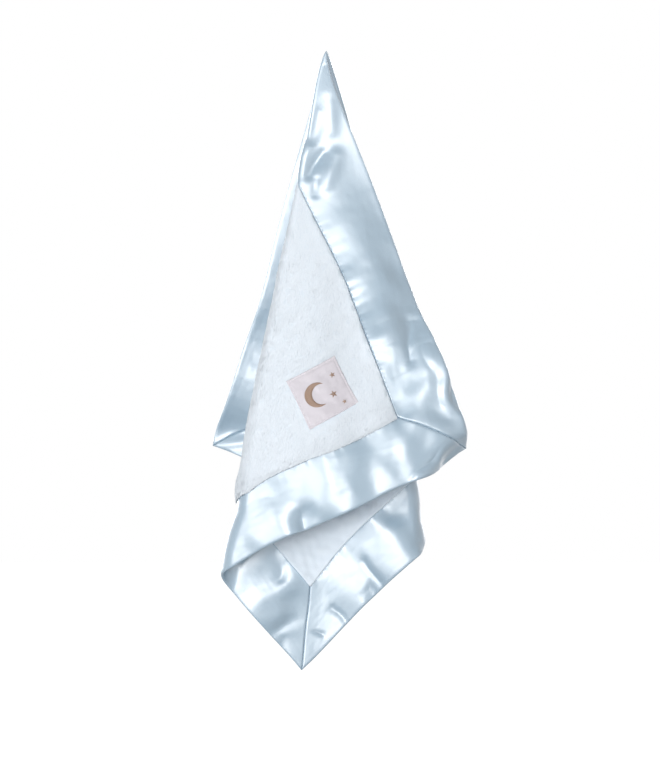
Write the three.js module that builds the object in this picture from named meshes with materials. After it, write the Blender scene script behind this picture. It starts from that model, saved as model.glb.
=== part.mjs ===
// A small square baby blanket of soft plush with a wide satin border, hung up by one corner.
// The cloth falls in three layers that fan out from the held corner: a front layer, a middle
// layer that shows the reverse, and a back layer, joined by two rounded folds.
// Units are millimetres. +Z is up, +X is to the right and +Y goes away from the viewer.
// The origin is the middle of the pinched grip, a little below the top corner.
import * as THREE from 'three';
import { mergeVertices } from 'three/addons/utils/BufferGeometryUtils.js';

// Flat sizes
const blanketSide = 355;
const bandWidth = 51;
const seamGap = 0.3;
const tipBlunt = 5;

// Thicknesses: pressed at the grip, full where the cloth hangs free
const satinPressed = 1.2;
const satinFull = 2.4;
const frontPlushPressed = 0.9;
const frontPlushFull = 3;
const backPlushPressed = 0.7;
const backPlushFull = 2.4;
const fullThicknessDistance = 200;
const hemThicknessShare = 0.45;
const hemWidth = 3;
const plushHemWidth = 6;

// Grip, measured from the top corner along the cloth
const gripDistance = 68;
const gripHalfLength = 24;
const gripSideAngle = 5;

// Rounded folds between the layers
const foldRadiusAtGrip = 2.2;
const foldRadiusFree = 10;
const foldFreeDistance = 330;

// Where the two folds lie on the flat cloth, in degrees from the right edge at the top corner
const frontFoldFlatAngle = 35;
const backFoldFlatAngle = 60.4;

// Where edges and folds hang, in degrees from straight down, + to the right.
// Each turns from its angle at the very tip to its free angle over its settling distance.
const rightEdgeHang = { tipAngle: 6, freeAngle: 19.7, settleDistance: 32 };
const frontFoldHang = { tipAngle: -27, freeAngle: -11.5, settleDistance: 28 };
const backFoldHang = { tipAngle: 20, freeAngle: 10.2, settleDistance: 200 };
const leftEdgeHang = { tipAngle: -15, freeAngle: -15.9, settleDistance: 60 };

// How far the folds close: 1 is a full half turn, less at the tip, where the corner opens
const frontFoldTipShare = 0.9;
const backFoldTipShare = 0.84;
const widestBendAngle = 17;

// Soft swells of the hanging layers, as the slope of the cloth in degrees
const frontArchAngle = 20;
const frontRippleAngle = 11;
const middleRippleAngle = 9;
const backArchAngle = 15;
const backRippleAngle = 9;
const layerRipples = 2;
const swellFullDistance = 300;

// Length that small wrinkles take up along the two long free edges, fading towards the folds
const rightEdgeTakeUpShare = 0.04;
const leftEdgeTakeUpShare = 0.06;
const takeUpReachAngle = 20;

// Corners that curl away from the layers, + away from the viewer
const rightCornerCurl = 24;
const leftCornerCurl = 20;
const bottomCornerCurl = -8;
const curlReach = 85;

// Threads
const threadRadius = 0.5;
const stitchInset = 2.5;
const threadSides = 4;

// Label patch on the front plush and the embroidery on it
const patchSide = 44.5;
const patchThickness = 0.8;
const patchFromRightSeam = 27;
const patchFromLowerSeam = 23;
const patchTurnAngle = 7;
const patchLift = 0.5;
const patchStitchInset = 2;
const embroideryHeight = 0.5;
const embroideryLift = 0.35;
const moonRadius = 10;
const moonBiteRadius = 8.4;
const moonBiteShift = 4.6;
const starRadius = 3;
const starInnerShare = 0.42;
const starPoints = 5;

// Fineness of the facets
const hemColumns = 3;
const frontColumns = 6;
const bendColumns = 6;
const middleColumns = 2;
const innerColumns = 3;
const backColumns = 5;
const upperBandRows = 12;
const lowerBandRows = 4;
const plushRows = 9;
const patchCells = 5;
const pathSteps = 240;
const rowCrowdingPower = 1.4;
const bendReachAngle = 2.9;
const slopeStep = 0.5;
const slopeAngle = 0.2;

const degree = Math.PI / 180;
const quarterTurn = Math.PI / 2;
const diagonal = Math.PI / 4;
const rootTwo = Math.SQRT2;
const gripEnd = gripDistance + gripHalfLength;
const gripStart = gripDistance - gripHalfLength;
const innerSide = blanketSide - bandWidth;

function mix(from, to, share) {
  return from + (to - from) * share;
}

function limit(value, lowest, highest) {
  return Math.min(Math.max(value, lowest), highest);
}

function ease(value, from, to) {
  const share = limit((value - from) / (to - from), 0, 1);
  return share * share * (3 - 2 * share);
}

// A hang angle at a distance from the top corner, in radians
function hangAngle(hang, distance) {
  return mix(hang.freeAngle, hang.tipAngle, Math.exp(-distance / hang.settleDistance)) * degree;
}

function foldRadius(distance) {
  const share = limit((distance - gripEnd) / (foldFreeDistance - gripEnd), 0, 1);
  return mix(foldRadiusAtGrip, foldRadiusFree, share);
}

// The course of the cloth across its layers at one distance from the top corner.
// It is walked in small steps from the right edge to the left edge, turning at the two folds.
function layerPath(distance) {
  const halfBend = Math.min(quarterTurn * foldRadius(distance) / distance, widestBendAngle * degree);
  const frontFold = frontFoldFlatAngle * degree;
  const backFold = backFoldFlatAngle * degree;
  const closed = ease(distance, 0, gripStart);
  const frontTurn = mix(frontFoldTipShare, 1, closed);
  const backTurn = mix(backFoldTipShare, 1, closed);
  const swell = ease(distance, gripEnd, swellFullDistance) * degree;
  const step = quarterTurn / pathSteps;
  const path = { x: [0], y: [0], turns: [] };
  let lastHeading = Math.PI;
  for (let index = 0; index < pathSteps; index++) {
    const angle = (index + 0.5) * step;
    const pastFront = limit((angle - frontFold + halfBend) / (2 * halfBend), 0, 1);
    const pastBack = limit((angle - backFold + halfBend) / (2 * halfBend), 0, 1);
    const alongFront = limit(angle / (frontFold - halfBend), 0, 1);
    const alongMiddle = limit((angle - frontFold - halfBend) / (backFold - frontFold - 2 * halfBend), 0, 1);
    const alongBack = limit((angle - backFold - halfBend) / (quarterTurn - backFold - halfBend), 0, 1);
    const frontSlope = frontArchAngle * Math.cos(Math.PI * alongFront)
      + frontRippleAngle * Math.sin(2 * Math.PI * layerRipples * alongFront) * Math.sin(Math.PI * alongFront);
    const middleSlope = middleRippleAngle * Math.sin(2 * Math.PI * alongMiddle);
    const backSlope = backRippleAngle * Math.sin(2 * Math.PI * layerRipples * alongBack)
      * Math.sin(Math.PI * alongBack) - backArchAngle * Math.cos(Math.PI * alongBack);
    const slope = frontSlope * (1 - pastFront) + middleSlope * (pastFront - pastBack) + backSlope * pastBack;
    const heading = Math.PI * (1 - frontTurn * pastFront + backTurn * pastBack) + slope * swell;
    if ((heading - quarterTurn) * (lastHeading - quarterTurn) < 0) {
      path.turns.push(index + 0.5 - (heading - quarterTurn) / (heading - lastHeading));
    }
    lastHeading = heading;
    path.x.push(path.x[index] + distance * step * Math.cos(heading));
    path.y.push(path.y[index] + distance * step * Math.sin(heading));
  }
  return path;
}

// A value along a walked path, at a place given in steps
function readPath(values, place) {
  const index = limit(Math.floor(place), 0, pathSteps - 1);
  return mix(values[index], values[index + 1], place - index);
}

// Extra depth of the three free corners, for a place on the flat cloth
function cornerCurl(along, across) {
  const curls = [
    [rightCornerCurl, blanketSide, 0],
    [leftCornerCurl, 0, blanketSide],
    [bottomCornerCurl, blanketSide, blanketSide],
  ];
  let depth = 0;
  for (const [amount, cornerAlong, cornerAcross] of curls) {
    const away = Math.hypot(along - cornerAlong, across - cornerAcross);
    depth += amount * limit(1 - away / curlReach, 0, 1) ** 2;
  }
  return depth;
}

// The middle surface of the hung cloth. angle (radians from the right edge) and distance
// (from the top corner) are polar places on the flat cloth.
function middleSurface(angle, distance) {
  const path = layerPath(distance);
  const place = angle / quarterTurn * pathSteps;
  const [frontPlace, backPlace] = path.turns;
  const stops = [0, frontPlace, backPlace, pathSteps].map((stop) => readPath(path.x, stop));
  const hangs = [rightEdgeHang, frontFoldHang, backFoldHang, leftEdgeHang];
  const angles = hangs.map((hang) => hangAngle(hang, distance));
  const layer = place < frontPlace ? 0 : place < backPlace ? 1 : 2;
  const share = (readPath(path.x, place) - stops[layer]) / (stops[layer + 1] - stops[layer]);
  const hang = mix(angles[layer], angles[layer + 1], share);
  const centrePlace = (frontFoldFlatAngle + backFoldFlatAngle) * degree / 2 / quarterTurn * pathSteps;
  const depth = readPath(path.y, place) - readPath(path.y, centrePlace)
    + cornerCurl(distance * Math.cos(angle), distance * Math.sin(angle));
  const reach = takeUpReachAngle * degree;
  const takeUp = rightEdgeTakeUpShare * ease(reach - angle, 0, reach)
    + leftEdgeTakeUpShare * ease(angle + reach - quarterTurn, 0, reach);
  const hungDistance = distance * (1 - takeUp * ease(distance, gripEnd, swellFullDistance));
  return new THREE.Vector3(hungDistance * Math.sin(hang), depth, -hungDistance * Math.cos(hang));
}

const gripPoint = new THREE.Vector3(
  gripDistance * Math.sin(gripSideAngle * degree), 0, -gripDistance * Math.cos(gripSideAngle * degree),
);

// A point of the cloth at a height over the middle surface, + on the furry face
function clothPoint(angle, distance, height) {
  const point = middleSurface(angle, distance);
  const sideways = slopeStep / distance + slopeAngle * degree;
  const acrossSlope = middleSurface(Math.min(angle + sideways, quarterTurn), distance)
    .sub(middleSurface(Math.max(angle - sideways, 0), distance));
  const alongSlope = middleSurface(angle, distance + slopeStep).sub(middleSurface(angle, distance - slopeStep));
  const normal = acrossSlope.cross(alongSlope).normalize();
  return point.addScaledVector(normal, height).sub(gripPoint);
}

function thickness(pressed, full, distance) {
  return mix(pressed, full, ease(distance, gripEnd, fullThicknessDistance));
}

function satinThickness(distance) {
  return thickness(satinPressed, satinFull, distance);
}

// Turns a list of triangles, three points each, into a closed mesh without flat slivers
function closedMesh(name, points, triangles, material) {
  const geometry = new THREE.BufferGeometry();
  geometry.setAttribute('position', new THREE.Float32BufferAttribute(points.flatMap((p) => p.toArray()), 3));
  geometry.setIndex(triangles.flat());
  const merged = mergeVertices(geometry);
  const index = merged.getIndex().array;
  const kept = [];
  for (let corner = 0; corner < index.length; corner += 3) {
    const [a, b, c] = index.slice(corner, corner + 3);
    if (a !== b && b !== c && c !== a) kept.push(a, b, c);
  }
  merged.setIndex(kept);
  merged.computeVertexNormals();
  const mesh = new THREE.Mesh(merged, material);
  mesh.name = name;
  return mesh;
}

// A sheet of cloth with a grid of columns and rows. place(column, row) gives the polar place
// on the flat cloth and the heights of its furry side (top) and reverse side (base).
function sheet(name, columns, rows, place, material) {
  const points = [];
  for (let column = 0; column <= columns; column++) {
    for (let row = 0; row <= rows; row++) {
      const { angle, distance, top, base } = place(column, row);
      points.push(clothPoint(angle, distance, top), clothPoint(angle, distance, base));
    }
  }
  const at = (column, row, side) => 2 * (column * (rows + 1) + row) + side;
  const triangles = [];
  const quad = (a, b, c, d) => triangles.push([a, b, c], [a, c, d]);
  for (let column = 0; column < columns; column++) {
    for (let row = 0; row < rows; row++) {
      quad(at(column, row, 0), at(column + 1, row, 0), at(column + 1, row + 1, 0), at(column, row + 1, 0));
      quad(at(column, row, 1), at(column, row + 1, 1), at(column + 1, row + 1, 1), at(column + 1, row, 1));
    }
    quad(at(column, 0, 0), at(column, 0, 1), at(column + 1, 0, 1), at(column + 1, 0, 0));
    quad(at(column, rows, 0), at(column + 1, rows, 0), at(column + 1, rows, 1), at(column, rows, 1));
  }
  for (let row = 0; row < rows; row++) {
    quad(at(0, row, 0), at(0, row + 1, 0), at(0, row + 1, 1), at(0, row, 1));
    quad(at(columns, row, 0), at(columns, row, 1), at(columns, row + 1, 1), at(columns, row + 1, 0));
  }
  return closedMesh(name, points, triangles, material);
}

// A thin round thread through places on the cloth, at a height over its middle surface
function thread(name, places, closedLoop, material) {
  const centres = places.map(({ angle, distance, height }) => clothPoint(angle, distance, height));
  const ups = places.map(({ angle, distance, height }, index) =>
    clothPoint(angle, distance, height + threadRadius).sub(centres[index]).normalize());
  const count = centres.length;
  const points = [];
  centres.forEach((centre, index) => {
    const before = centres[closedLoop ? (index + count - 1) % count : Math.max(index - 1, 0)];
    const after = centres[closedLoop ? (index + 1) % count : Math.min(index + 1, count - 1)];
    const ahead = after.clone().sub(before).normalize();
    const side = ahead.clone().cross(ups[index]).normalize();
    for (let corner = 0; corner < threadSides; corner++) {
      const turn = 2 * Math.PI * (corner + 0.5) / threadSides;
      points.push(centre.clone().addScaledVector(side, threadRadius * Math.cos(turn))
        .addScaledVector(ups[index], threadRadius * Math.sin(turn)));
    }
  });
  const at = (index, corner) => (index % count) * threadSides + corner % threadSides;
  const triangles = [];
  const spans = closedLoop ? count : count - 1;
  for (let index = 0; index < spans; index++) {
    for (let corner = 0; corner < threadSides; corner++) {
      triangles.push([at(index, corner), at(index + 1, corner + 1), at(index, corner + 1)]);
      triangles.push([at(index, corner), at(index + 1, corner), at(index + 1, corner + 1)]);
    }
  }
  for (let corner = 1; !closedLoop && corner < threadSides - 1; corner++) {
    triangles.push([at(0, 0), at(0, corner), at(0, corner + 1)]);
    triangles.push([at(spans, 0), at(spans, corner + 1), at(spans, corner)]);
  }
  return closedMesh(name, points, triangles, material);
}

// Values from one angle up to, but not including, the next
function spread(from, to, count) {
  return Array.from({ length: count }, (_, index) => mix(from, to, index / count));
}

// Rays from the top corner that every piece shares, so that neighbours have matching facets
const bendReach = bendReachAngle * degree;
const frontFoldAngle = frontFoldFlatAngle * degree;
const backFoldAngle = backFoldFlatAngle * degree;
const innerCornerAngle = Math.atan(bandWidth / innerSide);
const hemAngle = Math.atan(hemWidth / blanketSide);
const rightRays = [
  0,
  ...spread(hemAngle, innerCornerAngle, hemColumns),
  ...spread(innerCornerAngle, frontFoldAngle - bendReach, frontColumns),
  ...spread(frontFoldAngle - bendReach, frontFoldAngle + bendReach, bendColumns),
  ...spread(frontFoldAngle + bendReach, diagonal, middleColumns),
  diagonal,
];
const leftRays = [
  0,
  ...spread(hemAngle, innerCornerAngle, hemColumns),
  ...spread(innerCornerAngle, quarterTurn - backFoldAngle - bendReach, backColumns),
  ...spread(quarterTurn - backFoldAngle - bendReach, quarterTurn - backFoldAngle + bendReach, bendColumns),
  ...spread(quarterTurn - backFoldAngle + bendReach, diagonal, innerColumns),
  diagonal,
];

// A ray beside a mitre gives way by half the seam gap
function besideDiagonal(ray, distance) {
  return Math.min(ray, diagonal - Math.asin(seamGap / 2 / distance));
}

// Distances along a ray where it meets the seam or mitre of an upper band, drawn in by inset
function upperBandEnd(ray, inset) {
  const seam = (bandWidth - inset) / Math.sin(Math.max(ray, hemAngle));
  const mitre = (blanketSide - inset * rootTwo) / (Math.cos(ray) + Math.sin(ray));
  return Math.min(seam, mitre);
}

// The same for the near side of a lower band, never past its free edge
function lowerBandStart(ray, inset) {
  const seam = (innerSide + inset) / Math.cos(ray);
  const mitre = (blanketSide + inset * rootTwo) / (Math.cos(ray) + Math.sin(ray));
  return Math.min(Math.max(seam, mitre), blanketSide / Math.cos(ray));
}

// The distance of a grid row of an upper band. The last but one carries the seam thread.
function upperBandDistance(ray, row) {
  if (row === upperBandRows) return upperBandEnd(ray, seamGap / 2);
  const share = (row / (upperBandRows - 1)) ** rowCrowdingPower;
  return mix(tipBlunt, upperBandEnd(ray, stitchInset), share);
}

// The distance of a grid row of a lower band. The second carries the seam thread.
function lowerBandDistance(ray, row) {
  if (row === 0) return lowerBandStart(ray, seamGap / 2);
  const edge = blanketSide / Math.cos(ray);
  const stitch = lowerBandStart(ray, stitchInset);
  const hem = Math.max(edge - hemWidth, stitch);
  return row > lowerBandRows ? edge : mix(stitch, hem, (row - 1) / (lowerBandRows - 1));
}

// Satin band on an upper side. The left one is the mirror of the right one on the flat cloth.
function upperBand(name, rays, mirrored, material) {
  return sheet(name, rays.length - 1, upperBandRows, (column, row) => {
    const ray = mirrored ? rays[rays.length - 1 - column] : rays[column];
    const distance = upperBandDistance(ray, row);
    const angle = besideDiagonal(ray, distance);
    const half = satinThickness(distance) / 2 * (ray === 0 ? hemThicknessShare : 1);
    return { angle: mirrored ? quarterTurn - angle : angle, distance, top: half, base: -half };
  }, material);
}

// Satin band on a lower side, out to the free edge
function lowerBand(name, rays, mirrored, material) {
  const firstRay = Math.atan(seamGap / rootTwo / blanketSide);
  return sheet(name, rays.length - 1, lowerBandRows + 1, (column, row) => {
    const ray = Math.max(mirrored ? rays[rays.length - 1 - column] : rays[column], firstRay);
    const distance = lowerBandDistance(ray, row);
    const angle = besideDiagonal(ray, distance);
    const half = satinThickness(distance) / 2 * (row > lowerBandRows ? hemThicknessShare : 1);
    return { angle: mirrored ? quarterTurn - angle : angle, distance, top: half, base: -half };
  }, material);
}

// One face of the plush centre. side is 1 for the furry face and -1 for the reverse.
function plush(name, side, pressed, full, material) {
  const nearEdge = bandWidth + seamGap / 2;
  const farEdge = innerSide - seamGap / 2;
  const firstRay = Math.atan(nearEdge / farEdge);
  const inner = (rays) => rays.filter((ray) => ray > firstRay + hemAngle);
  const rays = [
    firstRay, ...inner(rightRays),
    ...inner(leftRays).filter((ray) => ray < diagonal).reverse().map((ray) => quarterTurn - ray),
    quarterTurn - firstRay,
  ];
  const rows = plushRows + 2;
  return sheet(name, rays.length - 1, rows, (column, row) => {
    const angle = rays[column];
    const start = nearEdge / Math.min(Math.sin(angle), Math.cos(angle));
    const end = farEdge / Math.max(Math.sin(angle), Math.cos(angle));
    const hem = Math.min(plushHemWidth, (end - start) / 3);
    const atSeam = row === 0 || row === rows || column === 0 || column === rays.length - 1;
    const within = mix(start + hem, end - hem, (row - 1) / plushRows);
    const distance = row === 0 ? start : row === rows ? end : within;
    const high = seamGap / 2 + thickness(pressed, full, distance) * (atSeam ? hemThicknessShare : 1);
    const low = seamGap / 2;
    return { angle, distance, top: side > 0 ? high : -low, base: side > 0 ? low : -high };
  }, material);
}

// Threads lie on the satin, a seam gap over it
function threadHeight(distance) {
  return satinThickness(distance) / 2 + seamGap + threadRadius;
}

function threadPlace(mirrored, ray, distance) {
  const angle = mirrored ? quarterTurn - ray : ray;
  return { angle, distance, height: threadHeight(distance) };
}

function seamThread(name, rays, mirrored, distanceAt, material) {
  const along = rays.slice(0, -1).filter((ray) => ray >= innerCornerAngle);
  const places = along.map((ray) => threadPlace(mirrored, ray, distanceAt(ray)));
  return thread(name, places, false, material);
}

// The mitre thread of a side corner runs over the gap between its two bands
function sideMitreThread(name, rays, mirrored, material) {
  const along = rays.filter((ray) => ray > 0 && ray <= innerCornerAngle);
  const places = along.map((ray) => threadPlace(mirrored, ray, blanketSide / (Math.cos(ray) + Math.sin(ray))));
  return thread(name, places, false, material);
}

// The mitre threads of the top and bottom corners run down the diagonal
function diagonalMitreThread(name, distances, material) {
  return thread(name, distances.map((distance) => threadPlace(false, diagonal, distance)), false, material);
}

function rowList(from, to, distanceAt) {
  return Array.from({ length: to - from + 1 }, (_, index) => distanceAt(diagonal, from + index));
}

// Places on the label patch: right and up are millimetres from its centre, along the blanket's sides
const patchAlong = innerSide - patchFromLowerSeam - patchSide / 2;
const patchAcross = bandWidth + patchFromRightSeam + patchSide / 2;

function patchPlace(down, left, height) {
  const turn = patchTurnAngle * degree;
  const along = patchAlong + down * Math.cos(turn) + left * Math.sin(turn);
  const across = patchAcross + left * Math.cos(turn) - down * Math.sin(turn);
  const distance = Math.hypot(along, across);
  const plushTop = seamGap / 2 + thickness(frontPlushPressed, frontPlushFull, distance);
  return { angle: Math.atan2(across, along), distance, height: plushTop + patchLift + height };
}

function labelPatch(material) {
  return sheet('label_patch', patchCells, patchCells, (column, row) => {
    const down = patchSide * (row / patchCells - 0.5);
    const left = patchSide * (column / patchCells - 0.5);
    const { angle, distance, height } = patchPlace(down, left, 0);
    return { angle, distance, top: height + patchThickness, base: height };
  }, material);
}

function patchStitch(material) {
  const reach = patchSide / 2 - patchStitchInset;
  const places = [];
  for (let side = 0; side < 4; side++) {
    for (const share of spread(-1, 1, patchCells)) {
      const turn = -side * quarterTurn;
      const down = reach * (share * Math.cos(turn) - Math.sin(turn));
      const left = reach * (share * Math.sin(turn) + Math.cos(turn));
      places.push(patchPlace(down, left, patchThickness + embroideryLift + threadRadius));
    }
  }
  return thread('patch_stitch', places, true, material);
}

// A raised pad of embroidery with a drawn outline on the patch
function embroidery(name, outline, material) {
  const base = patchThickness + embroideryLift;
  const points = [];
  for (const corner of outline) {
    for (const height of [base, base + embroideryHeight]) {
      const place = patchPlace(corner.x, corner.y, height);
      points.push(clothPoint(place.angle, place.distance, place.height));
    }
  }
  const triangles = [];
  for (const [a, b, c] of THREE.ShapeUtils.triangulateShape(outline, [])) {
    triangles.push([2 * a + 1, 2 * c + 1, 2 * b + 1], [2 * a, 2 * b, 2 * c]);
  }
  outline.forEach((_, index) => {
    const next = (index + 1) % outline.length;
    triangles.push([2 * index, 2 * index + 1, 2 * next + 1], [2 * index, 2 * next + 1, 2 * next]);
  });
  return closedMesh(name, points, triangles, material);
}

function turnedOutline(points, angle, centre) {
  return points.map((point) => point.rotateAround(new THREE.Vector2(0, 0), angle).add(centre));
}

// A crescent: the outer arc, then the arc of the bite back to the start
function moonOutline() {
  const tip = Math.acos((moonRadius ** 2 + moonBiteShift ** 2 - moonBiteRadius ** 2) / (2 * moonRadius * moonBiteShift));
  const biteTip = Math.atan2(moonRadius * Math.sin(tip), moonRadius * Math.cos(tip) - moonBiteShift);
  const steps = 12;
  const outer = spread(tip, 2 * Math.PI - tip, steps).map((turn) =>
    new THREE.Vector2(moonRadius * Math.cos(turn), moonRadius * Math.sin(turn)));
  const bite = spread(2 * Math.PI - biteTip, biteTip, steps).map((turn) =>
    new THREE.Vector2(moonBiteShift + moonBiteRadius * Math.cos(turn), moonBiteRadius * Math.sin(turn)));
  return [...outer, ...bite];
}

function starOutline(radius) {
  return Array.from({ length: 2 * starPoints }, (_, index) => {
    const reach = index % 2 ? radius * starInnerShare : radius;
    const turn = Math.PI * index / starPoints;
    return new THREE.Vector2(reach * Math.cos(turn), reach * Math.sin(turn));
  });
}

function finish(color, roughness) {
  return new THREE.MeshStandardMaterial({ color, roughness, metalness: 0, side: THREE.DoubleSide });
}

const blanket = new THREE.Group();
const bands = [
  upperBand('border_upper_right', rightRays, false, finish(0xbfd9e6, 0.3)),
  upperBand('border_upper_left', leftRays, true, finish(0xb9d4e2, 0.3)),
  lowerBand('border_lower_right', rightRays, false, finish(0xb4d0df, 0.3)),
  lowerBand('border_lower_left', leftRays, true, finish(0xc3dbe8, 0.3)),
];
const plushFaces = [
  plush('plush_front', 1, frontPlushPressed, frontPlushFull, finish(0xe4eff8, 0.95)),
  plush('plush_back', -1, backPlushPressed, backPlushFull, finish(0xd2e2ef, 0.95)),
];
const upperStitch = (ray) => upperBandDistance(ray, upperBandRows - 1);
const lowerStitch = (ray) => lowerBandDistance(ray, 1);
const threads = [
  seamThread('seam_upper_right', rightRays, false, upperStitch, finish(0xa9c6d8, 0.6)),
  seamThread('seam_upper_left', leftRays, true, upperStitch, finish(0xa9c6d8, 0.6)),
  seamThread('seam_lower_right', rightRays, false, lowerStitch, finish(0xa9c6d8, 0.6)),
  seamThread('seam_lower_left', leftRays, true, lowerStitch, finish(0xa9c6d8, 0.6)),
  diagonalMitreThread('mitre_top', rowList(1, upperBandRows, upperBandDistance), finish(0xa9c6d8, 0.6)),
  sideMitreThread('mitre_right', rightRays, false, finish(0xa9c6d8, 0.6)),
  diagonalMitreThread('mitre_bottom', rowList(0, lowerBandRows, lowerBandDistance), finish(0xa9c6d8, 0.6)),
  sideMitreThread('mitre_left', leftRays, true, finish(0xa9c6d8, 0.6)),
];

// The crescent stands left of the middle, with three stars in its opening
const taupe = () => finish(0xa58a78, 0.7);
const moonShiftShare = -0.1;
const starShiftShares = [[0.12, -0.16], [-0.2, -0.3], [0.34, -0.27]];
const starSizeShares = [1, 0.75, 0.6];
const motifTurn = -quarterTurn * 0.8;
const moonCentre = new THREE.Vector2(0, -moonShiftShare * patchSide);
const patchPieces = [
  labelPatch(finish(0xf3e6e9, 0.4)),
  patchStitch(finish(0xe6d9de, 0.6)),
  embroidery('patch_moon', turnedOutline(moonOutline(), motifTurn, moonCentre), taupe()),
  ...starShiftShares.map(([down, left], index) => embroidery(
    `patch_star_${index + 1}`,
    turnedOutline(starOutline(starRadius * starSizeShares[index]), Math.PI,
      new THREE.Vector2(down * patchSide, left * patchSide)),
    taupe(),
  )),
];
blanket.add(...bands, ...plushFaces, ...threads, ...patchPieces);

export default blanket;
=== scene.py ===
"""A baby blanket of long plush with a wide satin border, hung by one corner.

The blanket is worked out flat, in millimetres from its held corner, and every flat place is
then carried to the hung and folded cloth. Lengths turn to metres where a mesh is made.
"""
import logging
import math
from dataclasses import dataclass, field
from enum import Enum

import bpy
import numpy as np
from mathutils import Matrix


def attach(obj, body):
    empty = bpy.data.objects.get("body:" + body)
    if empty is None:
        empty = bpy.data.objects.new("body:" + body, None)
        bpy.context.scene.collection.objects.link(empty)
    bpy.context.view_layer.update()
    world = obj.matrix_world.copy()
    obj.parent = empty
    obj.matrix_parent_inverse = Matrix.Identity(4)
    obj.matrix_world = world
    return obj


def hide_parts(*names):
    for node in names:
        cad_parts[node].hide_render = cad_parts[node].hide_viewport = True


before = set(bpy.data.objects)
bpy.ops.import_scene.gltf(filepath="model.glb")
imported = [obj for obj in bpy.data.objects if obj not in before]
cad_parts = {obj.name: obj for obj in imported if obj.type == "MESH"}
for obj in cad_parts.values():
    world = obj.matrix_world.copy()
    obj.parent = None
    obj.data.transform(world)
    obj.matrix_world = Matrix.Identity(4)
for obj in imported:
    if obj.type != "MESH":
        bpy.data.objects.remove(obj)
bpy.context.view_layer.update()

log = logging.getLogger("baby_blanket")

METRES = 0.001
QUARTER = math.pi / 2
UV_NAME = "cloth"
# Lengths of the plane waves in a swell, as shares of the typical one, and how high they add up
WAVE_SPREAD = (0.7, 1.5)
WAVE_GAIN = 1.4


# Small helpers

def ease(value: np.ndarray, start: float, end: float) -> np.ndarray:
    """A smooth step.

    Args:
        value: Where to read it.
        start: Where it leaves 0.
        end: Where it reaches 1.

    Returns:
        The step's height, from 0 to 1.
    """
    share = np.clip((value - start) / (end - start), 0.0, 1.0)
    return share * share * (3.0 - 2.0 * share)


def mix(low: np.ndarray, high: np.ndarray, share: np.ndarray) -> np.ndarray:
    """A value between two others, at a share of the way."""
    return low + (high - low) * share


def unit(vectors: np.ndarray) -> np.ndarray:
    """The same directions, each of length 1."""
    return vectors / np.maximum(np.linalg.norm(vectors, axis=-1, keepdims=True), 1e-12)


def rounded(away: np.ndarray, radius: float) -> np.ndarray:
    """Height share of a face near an edge that rounds off over a radius."""
    return np.sqrt(1 - np.clip(1 - away / radius, 0.0, 1.0) ** 2)


def inset(along: np.ndarray, across: np.ndarray, low: float, high: float) -> np.ndarray:
    """How far flat places lie inside the square that runs from one distance to another."""
    return np.minimum.reduce([along - low, high - along, across - low, high - across])


def waves(x: np.ndarray, y: np.ndarray, length: float, seed: int, count: int = 14) -> np.ndarray:
    """Soft irregular swells, made of plane waves in random directions.

    Args:
        x: First flat coordinate, in mm.
        y: Second flat coordinate, in mm.
        length: Typical distance between two crests, in mm.
        seed: Picks the pattern.
        count: How many plane waves are added.

    Returns:
        Heights of about -1 to 1.
    """
    chance = np.random.default_rng(seed)
    total = np.zeros(np.broadcast(x, y).shape)
    for _ in range(count):
        turn = chance.uniform(0.0, 2.0 * math.pi)
        pitch = 2.0 * math.pi / (length * chance.uniform(*WAVE_SPREAD))
        shift = chance.uniform(0.0, 2.0 * math.pi)
        total += np.sin(pitch * (x * math.cos(turn) + y * math.sin(turn)) + shift)
    return total * WAVE_GAIN / math.sqrt(2.0 * count)


# The cloth, flat and hung

@dataclass(frozen=True)
class BlanketCut:
    """The flat sizes of the blanket, in mm. Places are along one side and across to the other."""

    side: float = 355.0
    band_width: float = 51.0
    seam_gap: float = 0.3
    satin_pressed: float = 1.2
    satin_full: float = 2.4
    front_pressed: float = 0.9
    front_full: float = 3.0
    back_pressed: float = 0.7
    back_full: float = 2.4
    grip_end: float = 92.0
    full_thickness_distance: float = 200.0

    @property
    def inner(self) -> float:
        """Where the lower bands meet the plush."""
        return self.side - self.band_width

    def thick(self, pressed: float, full: float, distance: np.ndarray) -> np.ndarray:
        """A thickness that the grip presses flat.

        Args:
            pressed: Thickness in the grip.
            full: Thickness far from the grip.
            distance: Distance from the held corner.

        Returns:
            The thickness there, in mm.
        """
        return mix(pressed, full, ease(distance, self.grip_end, self.full_thickness_distance))

    def satin(self, distance: np.ndarray) -> np.ndarray:
        """Thickness of the satin border at a distance from the held corner."""
        return self.thick(self.satin_pressed, self.satin_full, distance)


@dataclass(frozen=True)
class Hang:
    """How far one ray of the cloth swings from plumb, in degrees, from the corner outwards."""

    tip: float
    free: float
    settle: float

    def at(self, distance: np.ndarray) -> np.ndarray:
        """The swing at a distance from the held corner, in radians."""
        return np.radians(self.free + (self.tip - self.free) * np.exp(-distance / self.settle))


@dataclass(frozen=True)
class Fold:
    """A soft ridge or valley between two places on the flat cloth.

    A height above 0 rises on the furry face, which is the near face of the front layer.
    """

    height: float
    width: float
    start: tuple[float, float]
    end: tuple[float, float]
    power: float = 2.0
    end_share: float = 0.72

    def relief(self, along: np.ndarray, across: np.ndarray) -> np.ndarray:
        """The fold's height at flat places.

        Args:
            along: Distances along the first side, in mm.
            across: Distances along the second side, in mm.

        Returns:
            Heights in mm.
        """
        run = np.subtract(self.end, self.start)
        past_along, past_across = along - self.start[0], across - self.start[1]
        reach = (past_along * run[0] + past_across * run[1]) / float(np.hypot(*run)) ** 2
        reach = np.clip(reach, 0.0, 1.0)
        away = np.hypot(past_along - reach * run[0], past_across - reach * run[1])
        taper = mix(self.end_share, 1.0, np.sin(math.pi * reach))
        return self.height * taper * np.exp(-((away / self.width) ** self.power))


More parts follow.
